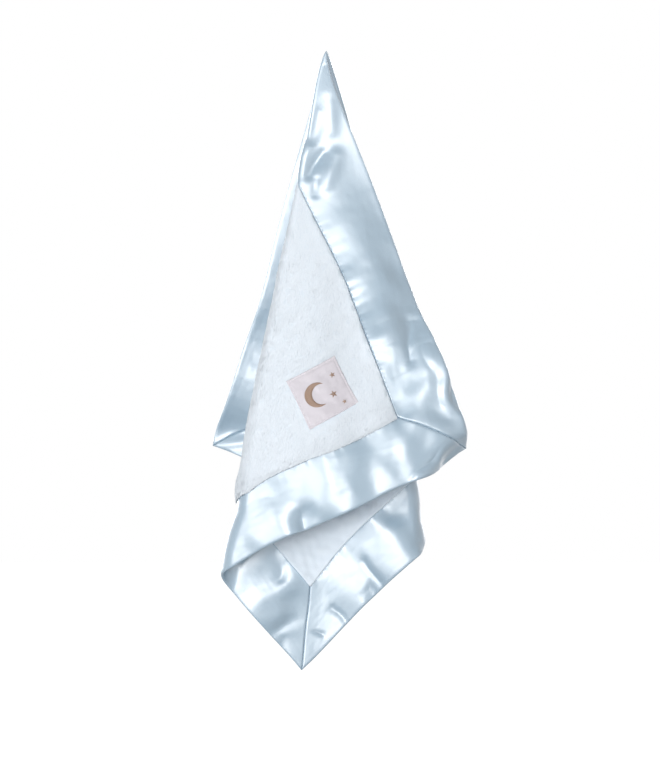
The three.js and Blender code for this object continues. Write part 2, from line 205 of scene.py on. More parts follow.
def folds(*rows: tuple[float, ...]) -> tuple[Fold, ...]:
    """Folds from rows of height, width, start along and across, end along and across, power."""
    return tuple(Fold(high, wide, (a, b), (c, d), *power)
                 for high, wide, a, b, c, d, *power in rows)


@dataclass(frozen=True)
class Slide:
    """A small slip of the cloth in its own plane, where its weight draws it to a side or down."""

    right: float
    down: float
    place: tuple[float, float]
    reach: float

    def share(self, along: np.ndarray, across: np.ndarray) -> np.ndarray:
        """How much of the slip is felt at flat places, from 0 to 1."""
        away = np.hypot(along - self.place[0], across - self.place[1])
        return np.exp(-((away / self.reach) ** 2))


# Folds of the front layer's side band, from the grip down to the right corner. A row's last
# number, where it has seven, is the fold's power.
GRIP_FOLDS = folds(
    (-2.6, 3.8, 78, 27, 93, 41, 1.6), (2.2, 6, 70, 38, 88, 50), (2.2, 6, 84, 18, 104, 32),
    (-1.4, 3.4, 98, 37, 109, 42), (3.4, 21, 104, 30, 222, 27), (-4, 24, 120, -6, 220, -6),
    (-1.4, 5, 46, 20, 66, 33), (1.6, 6, 40, 8, 62, 16),
)
SIDE_FOLDS = folds(
    (3.2, 12, 228, 30, 244, 36), (-4, 6, 240, 12, 266, 23, 1.6), (13.5, 27, 262, -1, 320, -2),
    (-3, 17, 276, 43, 312, 43), (-1.2, 3.2, 256, 11, 308, 16, 1.6), (-5, 7, 290, -4, 316, -3),
    (4.5, 17, 288, 3, 332, 7), (-4, 5, 284, 0, 308, 2),
)
# Folds of the front layer's lower band, from the right corner to the front crease
LOWER_FOLDS = folds(
    (6, 14, 346, 9, 318, 36), (-9, 14, 360, 10, 353, 30), (9.5, 22, 358, 35, 344, 40),
    (2.9, 22, 306, 83, 362, 89), (6, 24, 306, 109, 362, 119), (-11, 14, 374, 148, 357, 145),
    (-3, 6, 362, 150, 350, 148), (6, 26, 316, 182, 356, 188), (4.5, 20, 300, 196, 360, 238),
)
# Folds of the middle layer below it, round the bottom corner. Its near face is the reverse.
MIDDLE_FOLDS = folds(
    (3, 16, 200, 326, 208, 362), (-9, 19, 234, 312, 233, 362), (1.8, 5, 254, 334, 256, 360),
    (2.6, 5.5, 268, 346, 266, 362), (-2.5, 19, 280, 312, 276, 358), (1.5, 3.6, 301, 338, 302, 356),
    (2, 2.6, 327, 336, 324, 344, 1.6), (-3.6, 14, 312, 293, 358, 297), (2, 9, 326, 313, 358, 316),
    (2.6, 5, 350, 330, 358, 336), (1.4, 5, 304, 268, 318, 280),
)
# Folds of the back layer, which shows at the left edge and from behind
BACK_FOLDS = folds(
    (1.2, 18, -3, 110, -3, 196), (-2.9, 18, -3, 246, -3, 316), (-4, 26, -10, 262, 30, 262),
    (-5, 13, 0, 341, 40, 331), (2.4, 4.5, 6, 352, 48, 330), (-4, 12, 60, 356, 64, 312),
    (3.4, 14, 96, 356, 92, 314), (-4, 14, 130, 356, 134, 300), (-3, 26, 70, 180, 110, 290),
    (-3, 22, 40, 110, 50, 180),
)
# Where the cloth slips a little in its own plane
SLIDES = (
    Slide(0.0, 7.0, (352.0, 36.0), 26.0),  # the lower edge beside the right corner
    Slide(7.0, 7.0, (308.0, 205.0), 30.0),  # the front crease at the lower seam
    Slide(5.6, 4.6, (308.0, 308.0), 34.0),  # the plush's bottom corner
    Slide(3.8, 1.0, (348.0, 348.0), 36.0),  # the bottom corner
    Slide(-2.6, 0.0, (0.0, 350.0), 34.0),  # the left corner
    Slide(-2.0, 0.0, (350.0, 2.0), 24.0),  # the right corner
    Slide(4.2, 3.0, (352.0, 248.0), 34.0),  # the front crease at the lower edge
    Slide(3.0, 0.0, (0.0, 225.0), 60.0),  # the left edge, half-way down
)


@dataclass
class HungCloth:
    """The middle surface of the hung blanket: three layers, fanned from the held corner.

    Lengths are in mm and angles in degrees.
    """

    cut: BlanketCut = field(default_factory=BlanketCut)
    # The grip, and the radius of the layers' creases there and where they hang free
    grip_distance: float = 68.0
    grip_start: float = 44.0
    grip_side_angle: float = 5.0
    fold_radius_at_grip: float = 2.2
    fold_radius_free: float = 10.0
    fold_free_distance: float = 330.0
    # Flat angles of the two creases. The front one turns over three ranges of distance.
    front_fold_at_tip: float = 33.0
    front_fold_at_grip: float = 28.0
    front_fold_at_seam: float = 34.1
    front_fold: float = 35.0
    front_fold_turns: tuple[tuple[float, float], ...] = (
        (60.0, 95.0), (95.0, 200.0), (370.0, 440.0))
    back_fold: float = 60.4
    widest_bend: float = 17.0
    # How the right edge, the front crease, the back crease and the left edge swing from plumb
    hangs: tuple[Hang, ...] = (
        Hang(0.5, 19.7, 32.0), Hang(-27.0, -11.5, 28.0),
        Hang(20.0, 10.2, 200.0), Hang(-15.0, -15.9, 60.0),
    )
    # The free corner above the grip: how far it nods, and how far its layers are folded over
    tip_nod: float = 24.0
    tip_nod_reach: float = 60.0
    front_fold_tip_share: float = 0.9
    back_fold_tip_share: float = 0.84
    # How steeply each layer arches and ripples to the front and back
    front_arch: float = 20.0
    front_ripple: float = 11.0
    middle_ripple: float = 9.0
    back_arch: float = 15.0
    back_ripple: float = 9.0
    layer_ripples: int = 2
    swell_full_distance: float = 300.0
    # Length that the two free edges lose to waves too fine to build, as shares
    right_take_up: float = 0.04
    left_take_up: float = 0.06
    take_up_reach: float = 20.0
    # Extra depth of the right, left and bottom corners, with which corner each is
    corner_curls: tuple[tuple[float, int, int], ...] = ((8.0, 1, 0), (20.0, 0, 1), (-2.0, 1, 1))
    curl_reach: float = 85.0
    # Single folds, and how far their lines wander, less so at the left edge
    folds: tuple[Fold, ...] = GRIP_FOLDS + SIDE_FOLDS + LOWER_FOLDS + MIDDLE_FOLDS + BACK_FOLDS
    slides: tuple[Slide, ...] = SLIDES
    fold_sway: float = 3.2
    sway_lengths: tuple[float, float] = (42.0, 38.0)
    left_sway_calm: float = 0.85
    left_sway_angles: tuple[float, float] = (66.0, 76.0)
    # Swells between the folds, fainter on the plush, at the left edge and at the bottom corner
    loose_distances: tuple[float, float] = (60.0, 260.0)
    swell_height: float = 0.6
    swell_length: float = 46.0
    crinkle_height: float = 0.04
    crinkle_length: float = 19.0
    plush_calm: float = 0.65
    plush_calm_reach: tuple[float, float] = (-5.0, 15.0)
    left_calm: float = 0.6
    left_calm_angles: tuple[float, float] = (70.0, 80.0)
    bottom_calm: float = 0.75
    bottom_calm_reach: float = 45.0
    # How high a fold may stand: outside the layers, between them, and near the free edges
    loose_limit: float = 28.0
    room_share: float = 0.55
    least_room: float = 0.4
    edge_room: float = 8.0
    edge_room_angles: tuple[float, float] = (3.0, 7.0)
    # The table of places: its step in distance, how far it goes, and its steps in angle
    step: float = 0.5
    farthest: float = 510.0
    steps: int = 720
    last_cell: float = 0.001
    table: np.ndarray = field(init=False)

    def __post_init__(self) -> None:
        """Works out the table of places and normals by distance and angle."""
        distance = np.arange(1, int(self.farthest / self.step)) * self.step
        angle = np.linspace(0.0, QUARTER, self.steps + 1)
        places = self._middle(distance, angle)
        along = distance[:, None] * np.cos(angle)
        across = distance[:, None] * np.sin(angle)
        raised = places + self._normals(places) * self._relief(along, across)[..., None]
        self.table = np.concatenate([raised, self._normals(raised)], axis=-1)

    def _radius(self, distance: np.ndarray) -> np.ndarray:
        """Radius of the layers' folds at a distance from the held corner."""
        share = (distance - self.cut.grip_end) / (self.fold_free_distance - self.cut.grip_end)
        return mix(self.fold_radius_at_grip, self.fold_radius_free, np.clip(share, 0.0, 1.0))

    def _crease(self, distance: np.ndarray) -> np.ndarray:
        """Where the front crease runs. It bends towards the right edge at the grip.

        Args:
            distance: Distances from the held corner.

        Returns:
            Its flat angles there, in radians.
        """
        angle = self.front_fold_at_tip
        turned = (self.front_fold_at_grip, self.front_fold_at_seam, self.front_fold)
        for following, (start, end) in zip(turned, self.front_fold_turns):
            angle = mix(angle, following, ease(distance, start, end))
        return np.radians(angle)

    def _heading(self, distance: np.ndarray, angle: np.ndarray) -> np.ndarray:
        """Which way the cloth runs at flat polar places, as seen from above.

        Args:
            distance: Distances from the held corner, as a column.
            angle: Angles from the right edge, as a row, in radians.

        Returns:
            Headings in radians.
        """
        front, back = self._crease(distance), math.radians(self.back_fold)
        half = QUARTER * self._radius(distance) / distance
        half = np.minimum(half, math.radians(self.widest_bend))
        past_front = np.clip((angle - front + half) / (2 * half), 0.0, 1.0)
        past_back = np.clip((angle - back + half) / (2 * half), 0.0, 1.0)
        on_front = np.clip(angle / (front - half), 0.0, 1.0) * math.pi
        on_middle = np.clip((angle - front - half) / (back - front - 2 * half), 0.0, 1.0) * math.pi
        on_back = np.clip((angle - back - half) / (QUARTER - back - half), 0.0, 1.0) * math.pi
        ripples = 2 * self.layer_ripples
        front_slope = (self.front_arch * np.cos(on_front)
                       + self.front_ripple * np.sin(ripples * on_front) * np.sin(on_front))
        middle_slope = self.middle_ripple * np.sin(2 * on_middle)
        back_slope = (self.back_ripple * np.sin(ripples * on_back) * np.sin(on_back)
                      - self.back_arch * np.cos(on_back))
        slope = front_slope * (1 - past_front) + middle_slope * (past_front - past_back)
        slope = slope + back_slope * past_back
        closed = ease(distance, 0.0, self.grip_start)
        turned = mix(self.front_fold_tip_share, 1.0, closed) * past_front
        turned = turned - mix(self.back_fold_tip_share, 1.0, closed) * past_back
        swell = np.radians(ease(distance, self.cut.grip_end, self.swell_full_distance))
        return math.pi * (1 - turned) + slope * swell

    def _middle(self, distance: np.ndarray, angle: np.ndarray) -> np.ndarray:
        """The middle surface without its small folds, on a grid of distance by angle.

        Args:
            distance: Distances from the held corner, in mm.
            angle: Evenly spaced angles from the right edge to the left, in radians.

        Returns:
            Places in mm, as an array of distances by angles by 3.
        """
        rows = distance[:, None]
        along, across = rows * np.cos(angle), rows * np.sin(angle)
        heading = self._heading(rows, (angle[:-1] + angle[1:])[None, :] / 2)
        start = np.zeros_like(rows)
        arc = rows * (QUARTER / self.steps)
        x, y = (np.concatenate([start, np.cumsum(arc * turned, axis=1)], axis=1)
                for turned in (np.cos(heading), np.sin(heading)))
        centre = (self.front_fold + self.back_fold) / 2 / 90.0 * self.steps
        depth = y - self._read(y, start + centre) + self._curl(along, across)
        above = np.clip(self.tip_nod_reach - rows, 0.0, None)
        depth = depth - math.tan(math.radians(self.tip_nod)) * above**2 / (2 * self.tip_nod_reach)
        reach = math.radians(self.take_up_reach)
        take_up = self.right_take_up * ease(reach - angle, 0.0, reach)
        take_up = take_up + self.left_take_up * ease(angle + reach - QUARTER, 0.0, reach)
        hung = rows * (1 - take_up * ease(rows, self.cut.grip_end, self.swell_full_distance))
        swing = self._swing(rows, x, heading)
        side, drop = hung * np.sin(swing), hung * np.cos(swing)
        for slide in self.slides:
            share = slide.share(along, across)
            side, drop = side + slide.right * share, drop + slide.down * share
        return np.stack([side, depth, -drop], axis=-1)

    def _swing(self, rows: np.ndarray, x: np.ndarray, heading: np.ndarray) -> np.ndarray:
        """How far each place swings from plumb, between the two rays that bound its layer.

        Args:
            rows: Distances from the held corner, as a column.
            x: How far the cloth has run sideways, at each distance and angle.
            heading: Headings between those angles.

        Returns:
            Swings in radians.
        """
        start = np.zeros_like(rows)
        turns = [self._crossing(heading, falling) for falling in (True, False)]
        stops = [start, *turns, start + self.steps]
        reads = [self._read(x, stop) for stop in stops]
        swings = [hang.at(rows) for hang in self.hangs]
        places = np.arange(self.steps + 1)[None, :]
        swing = np.zeros_like(x)
        for layer in range(len(stops) - 1):
            share = (x - reads[layer]) / (reads[layer + 1] - reads[layer])
            held = (places >= stops[layer]) & (places <= stops[layer + 1] + 1e-9)
            swing = np.where(held, mix(swings[layer], swings[layer + 1], share), swing)
        return swing

    @staticmethod
    def _crossing(heading: np.ndarray, falling: bool) -> np.ndarray:
        """Where the cloth turns square to its layers.

        Args:
            heading: Rows of headings in radians.
            falling: Whether to look for the front crease, where the heading falls.

        Returns:
            The place in steps for each row, as a column.
        """
        turned = heading < QUARTER
        if not falling:
            seen = np.cumsum(turned, axis=1) > 0
            turned = seen & ~turned
        place = np.argmax(turned, axis=1)[:, None]
        here = np.take_along_axis(heading, place, 1)
        before = np.take_along_axis(heading, place - 1, 1)
        return place + 0.5 - (here - QUARTER) / (here - before)

    @staticmethod
    def _read(values: np.ndarray, place: np.ndarray) -> np.ndarray:
        """Reads each row of a table between its columns.

        Args:
            values: The table.
            place: One place for each row, in columns, as a column.

        Returns:
            The value for each row, as a column.
        """
        low = np.clip(np.floor(place).astype(int), 0, values.shape[1] - 2)
        first, second = (np.take_along_axis(values, low + column, 1) for column in (0, 1))
        return mix(first, second, place - low)

    def _curl(self, along: np.ndarray, across: np.ndarray) -> np.ndarray:
        """Extra depth of the three free corners.

        Args:
            along: Distances along the first side.
            across: Distances along the second side.

        Returns:
            Depths in mm, above 0 away from the camera.
        """
        total = np.zeros(np.broadcast(along, across).shape)
        for amount, far_along, far_across in self.corner_curls:
            away = np.hypot(along - far_along * self.cut.side, across - far_across * self.cut.side)
            total += amount * np.clip(1 - away / self.curl_reach, 0.0, 1.0) ** 2
        return total

    def _room(self, distance: np.ndarray, degrees: np.ndarray) -> np.ndarray:
        """How far a fold may stand out towards the next layer.

        Args:
            distance: Distances from the held corner.
            degrees: Flat angles from the right edge.

        Returns:
            Heights in mm.
        """
        near, far = self.edge_room_angles
        beyond = np.maximum(ease(-degrees, -far, -near), ease(degrees, 90.0 - far, 90.0 - near))
        return self.room_share * self._radius(distance) + self.least_room + self.edge_room * beyond

    def _relief(self, along: np.ndarray, across: np.ndarray) -> np.ndarray:
        """Height of the small folds and swells, kept out of the neighbouring layers.

        Args:
            along: Distances along the first side, in mm.
            across: Distances along the second side, in mm.

        Returns:
            Heights in mm, above 0 on the furry face.
        """
        distance, angle = np.hypot(along, across), np.arctan2(across, along)
        degrees = np.degrees(angle)
        free = ease(distance, *self.loose_distances)
        past_band = np.minimum(along, across) - self.cut.band_width
        calm = 1 - self.plush_calm * ease(past_band, *self.plush_calm_reach)
        calm = calm * (1 - self.left_calm * ease(degrees, *self.left_calm_angles))
        height = self.swell_height * calm * free * waves(along, across, self.swell_length, 3)
        height = height + self.crinkle_height * free * waves(along, across, self.crinkle_length, 5)
        sway = 1 - self.left_sway_calm * ease(degrees, *self.left_sway_angles)
        sway = self.fold_sway * free * sway
        bent_along = along + sway * waves(along, across, self.sway_lengths[0], 11)
        bent_across = across + sway * waves(along, across, self.sway_lengths[1], 12)
        for fold in self.folds:
            height = height + fold.relief(bent_along, bent_across)
        corner = np.hypot(along - self.cut.side, across - self.cut.side)
        height = height * (1 - self.bottom_calm * np.exp(-((corner / self.bottom_calm_reach) ** 2)))
        # The outer layers have a neighbour on one side only, and may stand out on the other
        inwards = np.where(angle < self._crease(distance), -1, 0)
        inwards = inwards + np.where(angle > math.radians(self.back_fold), 1, 0)
        free_side = (inwards != 0) & (np.sign(height) != inwards)
        limit = np.where(free_side, self.loose_limit, self._room(distance, degrees))
        return limit * np.tanh(height / limit)

    @staticmethod
    def _normals(places: np.ndarray) -> np.ndarray:
        """Normals of a grid of places, towards the furry face."""
        return unit(np.cross(np.gradient(places, axis=1), np.gradient(places, axis=0)))

    def at(self, along: np.ndarray, across: np.ndarray) -> tuple[np.ndarray, np.ndarray]:
        """The hung cloth's middle surface.

        Args:
            along: Distances along the first side, in mm.
            across: Distances along the second side, in mm.

        Returns:
            Places in mm from the point of grip, and unit normals towards the furry face.
        """
        along, across = np.broadcast_arrays(np.asarray(along, float), np.asarray(across, float))
        last = len(self.table) - 1 - self.last_cell
        row = np.clip(np.hypot(along, across) / self.step - 1, 0.0, last)
        column = np.clip(np.arctan2(across, along) / QUARTER, 0.0, 1.0) * self.steps
        column = np.minimum(column, self.steps - self.last_cell)
        r, c = row.astype(int), column.astype(int)
        dr, dc = (row - r)[..., None], (column - c)[..., None]
        near = mix(self.table[r, c], self.table[r, c + 1], dc)
        far = mix(self.table[r + 1, c], self.table[r + 1, c + 1], dc)
        found = mix(near, far, dr)
        side = math.radians(self.grip_side_angle)
        grip = self.grip_distance * np.array([math.sin(side), 0.0, -math.cos(side)])
        return found[..., :3] - grip, unit(found[..., 3:])

    def raised(self, along: np.ndarray, across: np.ndarray, height: np.ndarray) -> np.ndarray:
        """Places at a height over the middle surface, above 0 on the furry face, in mm."""
        place, normal = self.at(along, across)
        return place + normal * np.broadcast_to(height, place.shape[:-1])[..., None]


# Meshes

def make_piece(name: str, places: np.ndarray, faces: list[np.ndarray],
               uv: np.ndarray | None = None, normals: np.ndarray | None = None) -> bpy.types.Object:
    """Makes a mesh object, which finish_piece then ties to the blanket.

    Args:
        name: The piece's name.
        places: Its points, in mm.
        faces: Arrays of point numbers, one row a face, each array with its own corner count.
        uv: A UV place for each point.
        normals: A shading normal for each point, where the smooth ones won't do.

    Returns:
        The new object.
    """
    places = np.asarray(places, float).reshape(-1, 3)
    mesh = bpy.data.meshes.new(name)
    corners = np.concatenate([rows.reshape(-1) for rows in faces])
    counts = np.concatenate([np.full(len(rows), rows.shape[1]) for rows in faces])
    starts = np.concatenate([[0], np.cumsum(counts)[:-1]])
    mesh.vertices.add(len(places))
    mesh.vertices.foreach_set("co", (places * METRES).astype(np.float32).ravel())
    mesh.loops.add(len(corners))
    mesh.loops.foreach_set("vertex_index", corners.astype(np.int32))
    mesh.polygons.add(len(counts))
    mesh.polygons.foreach_set("loop_start", starts.astype(np.int32))
    mesh.update(calc_edges=True)
    mesh.shade_smooth()
    if uv is not None:
        layer = mesh.uv_layers.new(name=UV_NAME)
        spread = np.asarray(uv, float).reshape(-1, 2)[corners]
        layer.data.foreach_set("uv", spread.astype(np.float32).ravel())
    if normals is not None:
        directions = np.asarray(normals, float).reshape(-1, 3)
        mesh.normals_split_custom_set_from_vertices(directions.tolist())
    piece = bpy.data.objects.new(name, mesh)
    bpy.context.scene.collection.objects.link(piece)
    return piece


def outward(places: np.ndarray, faces: np.ndarray) -> np.ndarray:
    """Turns a closed mesh's faces to look outwards.

    Args:
        places: Points.
        faces: Faces of one corner count, all turned the same way.

    Returns:
        The same faces, turned over where they looked inwards.
    """
    centre = places.mean(axis=0)
    corner = places[faces] - centre
    volume = np.einsum("ij,ij->i", corner[:, 0], np.cross(corner[:, 1], corner[:, 2])).sum()
    if faces.shape[1] == 4:
        volume += np.einsum("ij,ij->i", corner[:, 0], np.cross(corner[:, 2], corner[:, 3])).sum()
    return faces if volume > 0 else faces[:, ::-1]


def closed_sheet(top: np.ndarray, base: np.ndarray) -> tuple[np.ndarray, np.ndarray, np.ndarray]:
    """Joins two grids of places round their rims.

    Args:
        top: Rows by columns by 3.
        base: The other face. Its rim is the top's rim.

    Returns:
        The points, the four-cornered faces, and for each point its number in the top grid.
    """
    rows, columns = top.shape[:2]
    number = np.arange(rows * columns).reshape(rows, columns)
    inside = np.zeros((rows, columns), bool)
    inside[1:-1, 1:-1] = True
    under = number.copy()
    under[inside] = rows * columns + np.arange(inside.sum())
    places = np.concatenate([top.reshape(-1, 3), base[inside]])

    def cells(grid: np.ndarray) -> np.ndarray:
        """The grid's cells as faces."""
        corners = [grid[:-1, :-1], grid[:-1, 1:], grid[1:, 1:], grid[1:, :-1]]
        return np.stack(corners, -1).reshape(-1, 4)

    faces = np.concatenate([cells(number), cells(under)[:, ::-1]])
    return places, outward(places, faces), np.concatenate([number.ravel(), number[inside]])


# Finishes

# A finish's tone, and the height of its relief if it has one
Pattern = tuple[bpy.types.NodeSocket, bpy.types.NodeSocket | None]


def linear(colour: str) -> tuple[float, float, float, float]:
    """An sRGB hex colour as linear light.

    Args:
        colour: Such as "#bcd3e0".

    Returns:
        Red, green, blue and alpha, from 0 to 1.
    """
    parts = [int(colour[place:place + 2], 16) / 255 for place in (1, 3, 5)]
    turned = [part / 12.92 if part <= 0.04045 else ((part + 0.055) / 1.055) ** 2.4
              for part in parts]
    return (*turned, 1.0)


def add_node(tree: bpy.types.NodeTree, kind: str, settings: dict | None = None,
             links: dict | None = None) -> bpy.types.Node:
    """Adds a shader node.

    Args:
        tree: Where it goes.
        kind: Its Blender type.
        settings: Values for its properties, or for its input sockets by name or number.
        links: Output sockets to join to its inputs, by the input's name or number.

    Returns:
        The node.
    """
    node = tree.nodes.new(kind)
    for key, value in (settings or {}).items():
        if isinstance(key, str) and hasattr(node, key):
            setattr(node, key, value)
        else:
            node.inputs[key].default_value = value
    for key, socket in (links or {}).items():
        tree.links.new(socket, node.inputs[key])
    return node


@dataclass(frozen=True)
class Finish:
    """A cloth or thread finish. Each kind adds its own colour and bump."""

    name: str
    colour: str
    shade: str
    roughness: float
    sheen: float = 0.0
    sheen_roughness: float = 0.5
    specular: float = 0.5
    anisotropy: float = 0.0
    anisotropy_turn: float = 0.25
    ior: float = 1.5
    coat: float = 0.0
    relief: float = 0.0
    relief_strength: float = 0.0

    def material(self) -> bpy.types.Material:
        """The finish's material, made once.

        Returns:
            The material that every piece of this finish shares.
        """
        made = bpy.data.materials.get(self.name)
        if made:
            return made
        made = bpy.data.materials.new(self.name)
        made.use_nodes = True
        tree = made.node_tree
        shader = tree.nodes["Principled BSDF"]
        values = {
            "Roughness": self.roughness, "IOR": self.ior, "Specular IOR Level": self.specular,
            "Sheen Weight": self.sheen, "Sheen Roughness": self.sheen_roughness,
            "Anisotropic": self.anisotropy, "Anisotropic Rotation": self.anisotropy_turn,
            "Coat Weight": self.coat, "Coat Roughness": self.roughness,
        }
        for socket, value in values.items():
            shader.inputs[socket].default_value = value
        self.dress(tree, shader)
        return made

    def dress(self, tree: bpy.types.NodeTree, shader: bpy.types.Node) -> None:
        """Joins the finish's two colours, and its relief where it has one, to its shader.

        Args:
            tree: The material's nodes.
            shader: Its shader.
        """
        tone, height = self.pattern(tree)
        blend = add_node(
            tree, "ShaderNodeMix",
            {"data_type": "RGBA", 6: linear(self.shade), 7: linear(self.colour)}, {0: tone})
        tree.links.new(blend.outputs[2], shader.inputs["Base Color"])
        if height is None:
            return
        bump = add_node(
            tree, "ShaderNodeBump", {"Strength": self.relief_strength, "Distance": self.relief},
            {"Height": height})
        tree.links.new(bump.outputs[0], shader.inputs["Normal"])

    def pattern(self, tree: bpy.types.NodeTree) -> Pattern:
        """The finish's tone, from its shade at 0 to its colour at 1, and its relief's height."""
        raise NotImplementedError(self.name)

    def flat_mm(self, tree: bpy.types.NodeTree, x_scale: float,
                y_scale: float) -> bpy.types.NodeSocket:
        """Flat cloth places for a pattern.

        Args:
            tree: The material's nodes.
            x_scale: Pattern units for each mm along the cloth.
            y_scale: Pattern units for each mm across it.

        Returns:
            The scaled places.
        """
        uv = add_node(tree, "ShaderNodeUVMap", {"uv_map": UV_NAME})
        side = BlanketCut().side
        scale = (x_scale * side, y_scale * side, 1.0)
        scaled = add_node(
            tree, "ShaderNodeMapping", {"Scale": scale}, {"Vector": uv.outputs[0]})
        return scaled.outputs[0]

    def mottled(self, tree: bpy.types.NodeTree, x_scale: float,
                y_scale: float) -> bpy.types.NodeSocket:
        """A soft uneven tone over the flat cloth.

        Args:
            tree: The material's nodes.
            x_scale: Pattern units for each mm along the cloth.
            y_scale: Pattern units for each mm across it.

        Returns:
            The tone, from 0 to 1.
        """
        noise = add_node(
            tree, "ShaderNodeTexNoise", {"Scale": 1.0, "Detail": 3.0},
            {"Vector": self.flat_mm(tree, x_scale, y_scale)})
        return noise.outputs["Fac"]


@dataclass(frozen=True)
class WovenSatin(Finish):
    """Polyester satin, woven with long floats, whose highlights stretch over the threads."""

    thread_mm: float = 0.35
    float_mm: float = 5.0
    mottle_per_mm: tuple[float, float] = (0.03, 0.05)
    relief: float = 0.00008
    relief_strength: float = 0.35

    def pattern(self, tree: bpy.types.NodeTree) -> Pattern:
        """A faint mottling, and the relief of the floats and the fine weave.

        Args:
            tree: The material's nodes.

        Returns:
            The tone and the height.
        """
        # Floats are drawn about twice as coarse as real ones, or they would fall between pixels
        floats = add_node(
            tree, "ShaderNodeTexNoise", {"Scale": 1.0, "Detail": 2.0},
            {"Vector": self.flat_mm(tree, 1 / self.float_mm, 0.5 / self.thread_mm)})
        return self.mottled(tree, *self.mottle_per_mm), floats.outputs["Fac"]

    def dress(self, tree: bpy.types.NodeTree, shader: bpy.types.Node) -> None:
        """Adds the threads' direction, which highlights stretch across.

        Args:
            tree: The material's nodes.
            shader: Its shader.
        """
        super().dress(tree, shader)
        tangent = add_node(
            tree, "ShaderNodeTangent", {"direction_type": "UV_MAP", "uv_map": UV_NAME})
        tree.links.new(tangent.outputs[0], shader.inputs["Tangent"])


@dataclass(frozen=True)
class PlushPile(Finish):
    """Brushed long-pile polyester plush, with painted shade that darkens each tuft's root below its
    pale tip.
    """

    # Painted shade along each tuft, as tones at its root and tip, and how far the tufts' own tones
    # differ
    root_painted_shade_tone: float = 0.1
    tip_tone: float = 0.9
    tuft_tone: float = 0.22

    def pattern(self, tree: bpy.types.NodeTree) -> Pattern:
        """The tufts' tone. UV is each tuft's own tone, and how far a point is towards its tip.

        Args:
            tree: The material's nodes.

        Returns:
            The tone, and no height.
        """
        uv = add_node(tree, "ShaderNodeUVMap", {"uv_map": UV_NAME})
        parts = add_node(tree, "ShaderNodeSeparateXYZ", {}, {0: uv.outputs[0]})
        # Painted shade: each tuft's tone runs from the darker root to the paler tip
        reach = add_node(
            tree, "ShaderNodeMapRange", {"To Min": self.root_painted_shade_tone, "To Max": self.tip_tone},
            {"Value": parts.outputs[1]})
        tone = add_node(
            tree, "ShaderNodeMath", {"operation": "MULTIPLY_ADD", 1: self.tuft_tone},
            {0: parts.outputs[0], 2: reach.outputs[0]})
        return tone.outputs[0], None


@dataclass(frozen=True)
class PlushGround(Finish):
    """The knitted ground and short pile of plush: matt and slightly pebbled."""

    pebble_mm: float = 1.6
    mottle_per_mm: float = 0.12
    relief: float = 0.0006
    relief_strength: float = 0.6

    def pattern(self, tree: bpy.types.NodeTree) -> Pattern:
        """A faint mottling, and the relief of the short pile.

        Args:
            tree: The material's nodes.

        Returns:
            The tone and the height.
        """
        # Clumps of fibres, because single ones would fall between pixels
        fibres = add_node(
            tree, "ShaderNodeTexNoise", {"Scale": 1.0, "Detail": 5.0, "Roughness": 0.65},
            {"Vector": self.flat_mm(tree, 1 / self.pebble_mm, 1 / self.pebble_mm)})
        mottle = self.mottled(tree, self.mottle_per_mm, self.mottle_per_mm)
        return mottle, fibres.outputs["Fac"]


@dataclass(frozen=True)
class SpunThread(Finish):
    """Spun polyester thread, twisted: matt, with a slanted twist painted lighter on its ridges and
    darker in its grooves.
    """

    twist_mm: float = 0.7
    relief: float = 0.0001
    relief_strength: float = 0.5

    def pattern(self, tree: bpy.types.NodeTree) -> Pattern:
        """The twist, and its painted groove shade. UV is mm along the thread, and turns round it.

        Args:
            tree: The material's nodes.

        Returns:
            The painted shade's tone and the height, which are the same.
        """
        uv = add_node(tree, "ShaderNodeUVMap", {"uv_map": UV_NAME})
        scale = (1 / self.twist_mm, 1.0, 1.0)
        turned = add_node(
            tree, "ShaderNodeMapping", {"Scale": scale}, {"Vector": uv.outputs[0]})
        twist = add_node(
            tree, "ShaderNodeTexWave",
            {"bands_direction": "DIAGONAL", "Scale": 0.5, "Distortion": 0.6},
            {"Vector": turned.outputs[0]})
        # The tone follows the height: painted shade darkens the twist's grooves
        return twist.outputs["Fac"], twist.outputs["Fac"]


class Finishes(Enum):
    """The blanket's finishes. Each starts from the real cloth or thread that its name gives."""

    # Polyester satin. Its smooth floats give the eye broad pale highlights, drawn out across
    # the threads, that turn within a few millimetres to blue-grey on the far side of a fold.
    SATIN = WovenSatin(
        "polyester_satin_woven", "#8ca6b9", "#849eb1", 0.4,
        specular=1.0, anisotropy=0.6, ior=1.85, coat=1.0)
    # Brushed polyester pile. It has no highlight: light goes in between the hairs, so the eye
    # sees a soft pale blue-white. The faint shade at the tufts' roots is partly painted, as a
    # darker tone towards each root.
    PILE = PlushPile(
        "polyester_plush_pile_painted_root_shade", "#e6edf4", "#dae4ed", 0.9, sheen=0.1, specular=0.2)
    # The knitted ground under the pile. Its colour is a little deeper than the pile's: painted
    # shade for where it shows between tufts.
    GROUND = PlushGround(
        "polyester_plush_ground_painted_shade", "#e2eaf2", "#dae4ed", 0.9, sheen=0.1, specular=0.2)
    # The reverse, with shorter and denser pile: flatter, evenly lit and finely pebbled
    REVERSE = PlushGround(
        "polyester_plush_reverse", "#e4edf6", "#dde8f2", 0.85,
        sheen=0.2, specular=0.3, pebble_mm=1.1, relief=0.0003)
    # Spun thread in a tone near the satin's, so that a seam shows as fine short dashes
    SEWING = SpunThread("polyester_sewing_thread", "#b3c5d2", "#9fb4c3", 0.6)
    # The label's finer satin, nearly white and warmer than the plush, with a dull gloss
    PATCH = WovenSatin(
        "polyester_satin_label", "#d9d5db", "#d0cbd2", 0.5,
        specular=0.3, thread_mm=0.3, float_mm=3.0)
    # Pale thread round the label, which stands out by its small shadows, and by painted shade
    # in its twist's grooves
    PATCH_SEWING = SpunThread("polyester_label_thread", "#ece6ec", "#d8d0d8", 0.55)
    # Rayon is smoother than polyester thread: brown, with a soft gloss on each raised row
    EMBROIDERY = SpunThread("rayon_embroidery_thread", "#b19784", "#8d7363", 0.4, sheen=0.2)


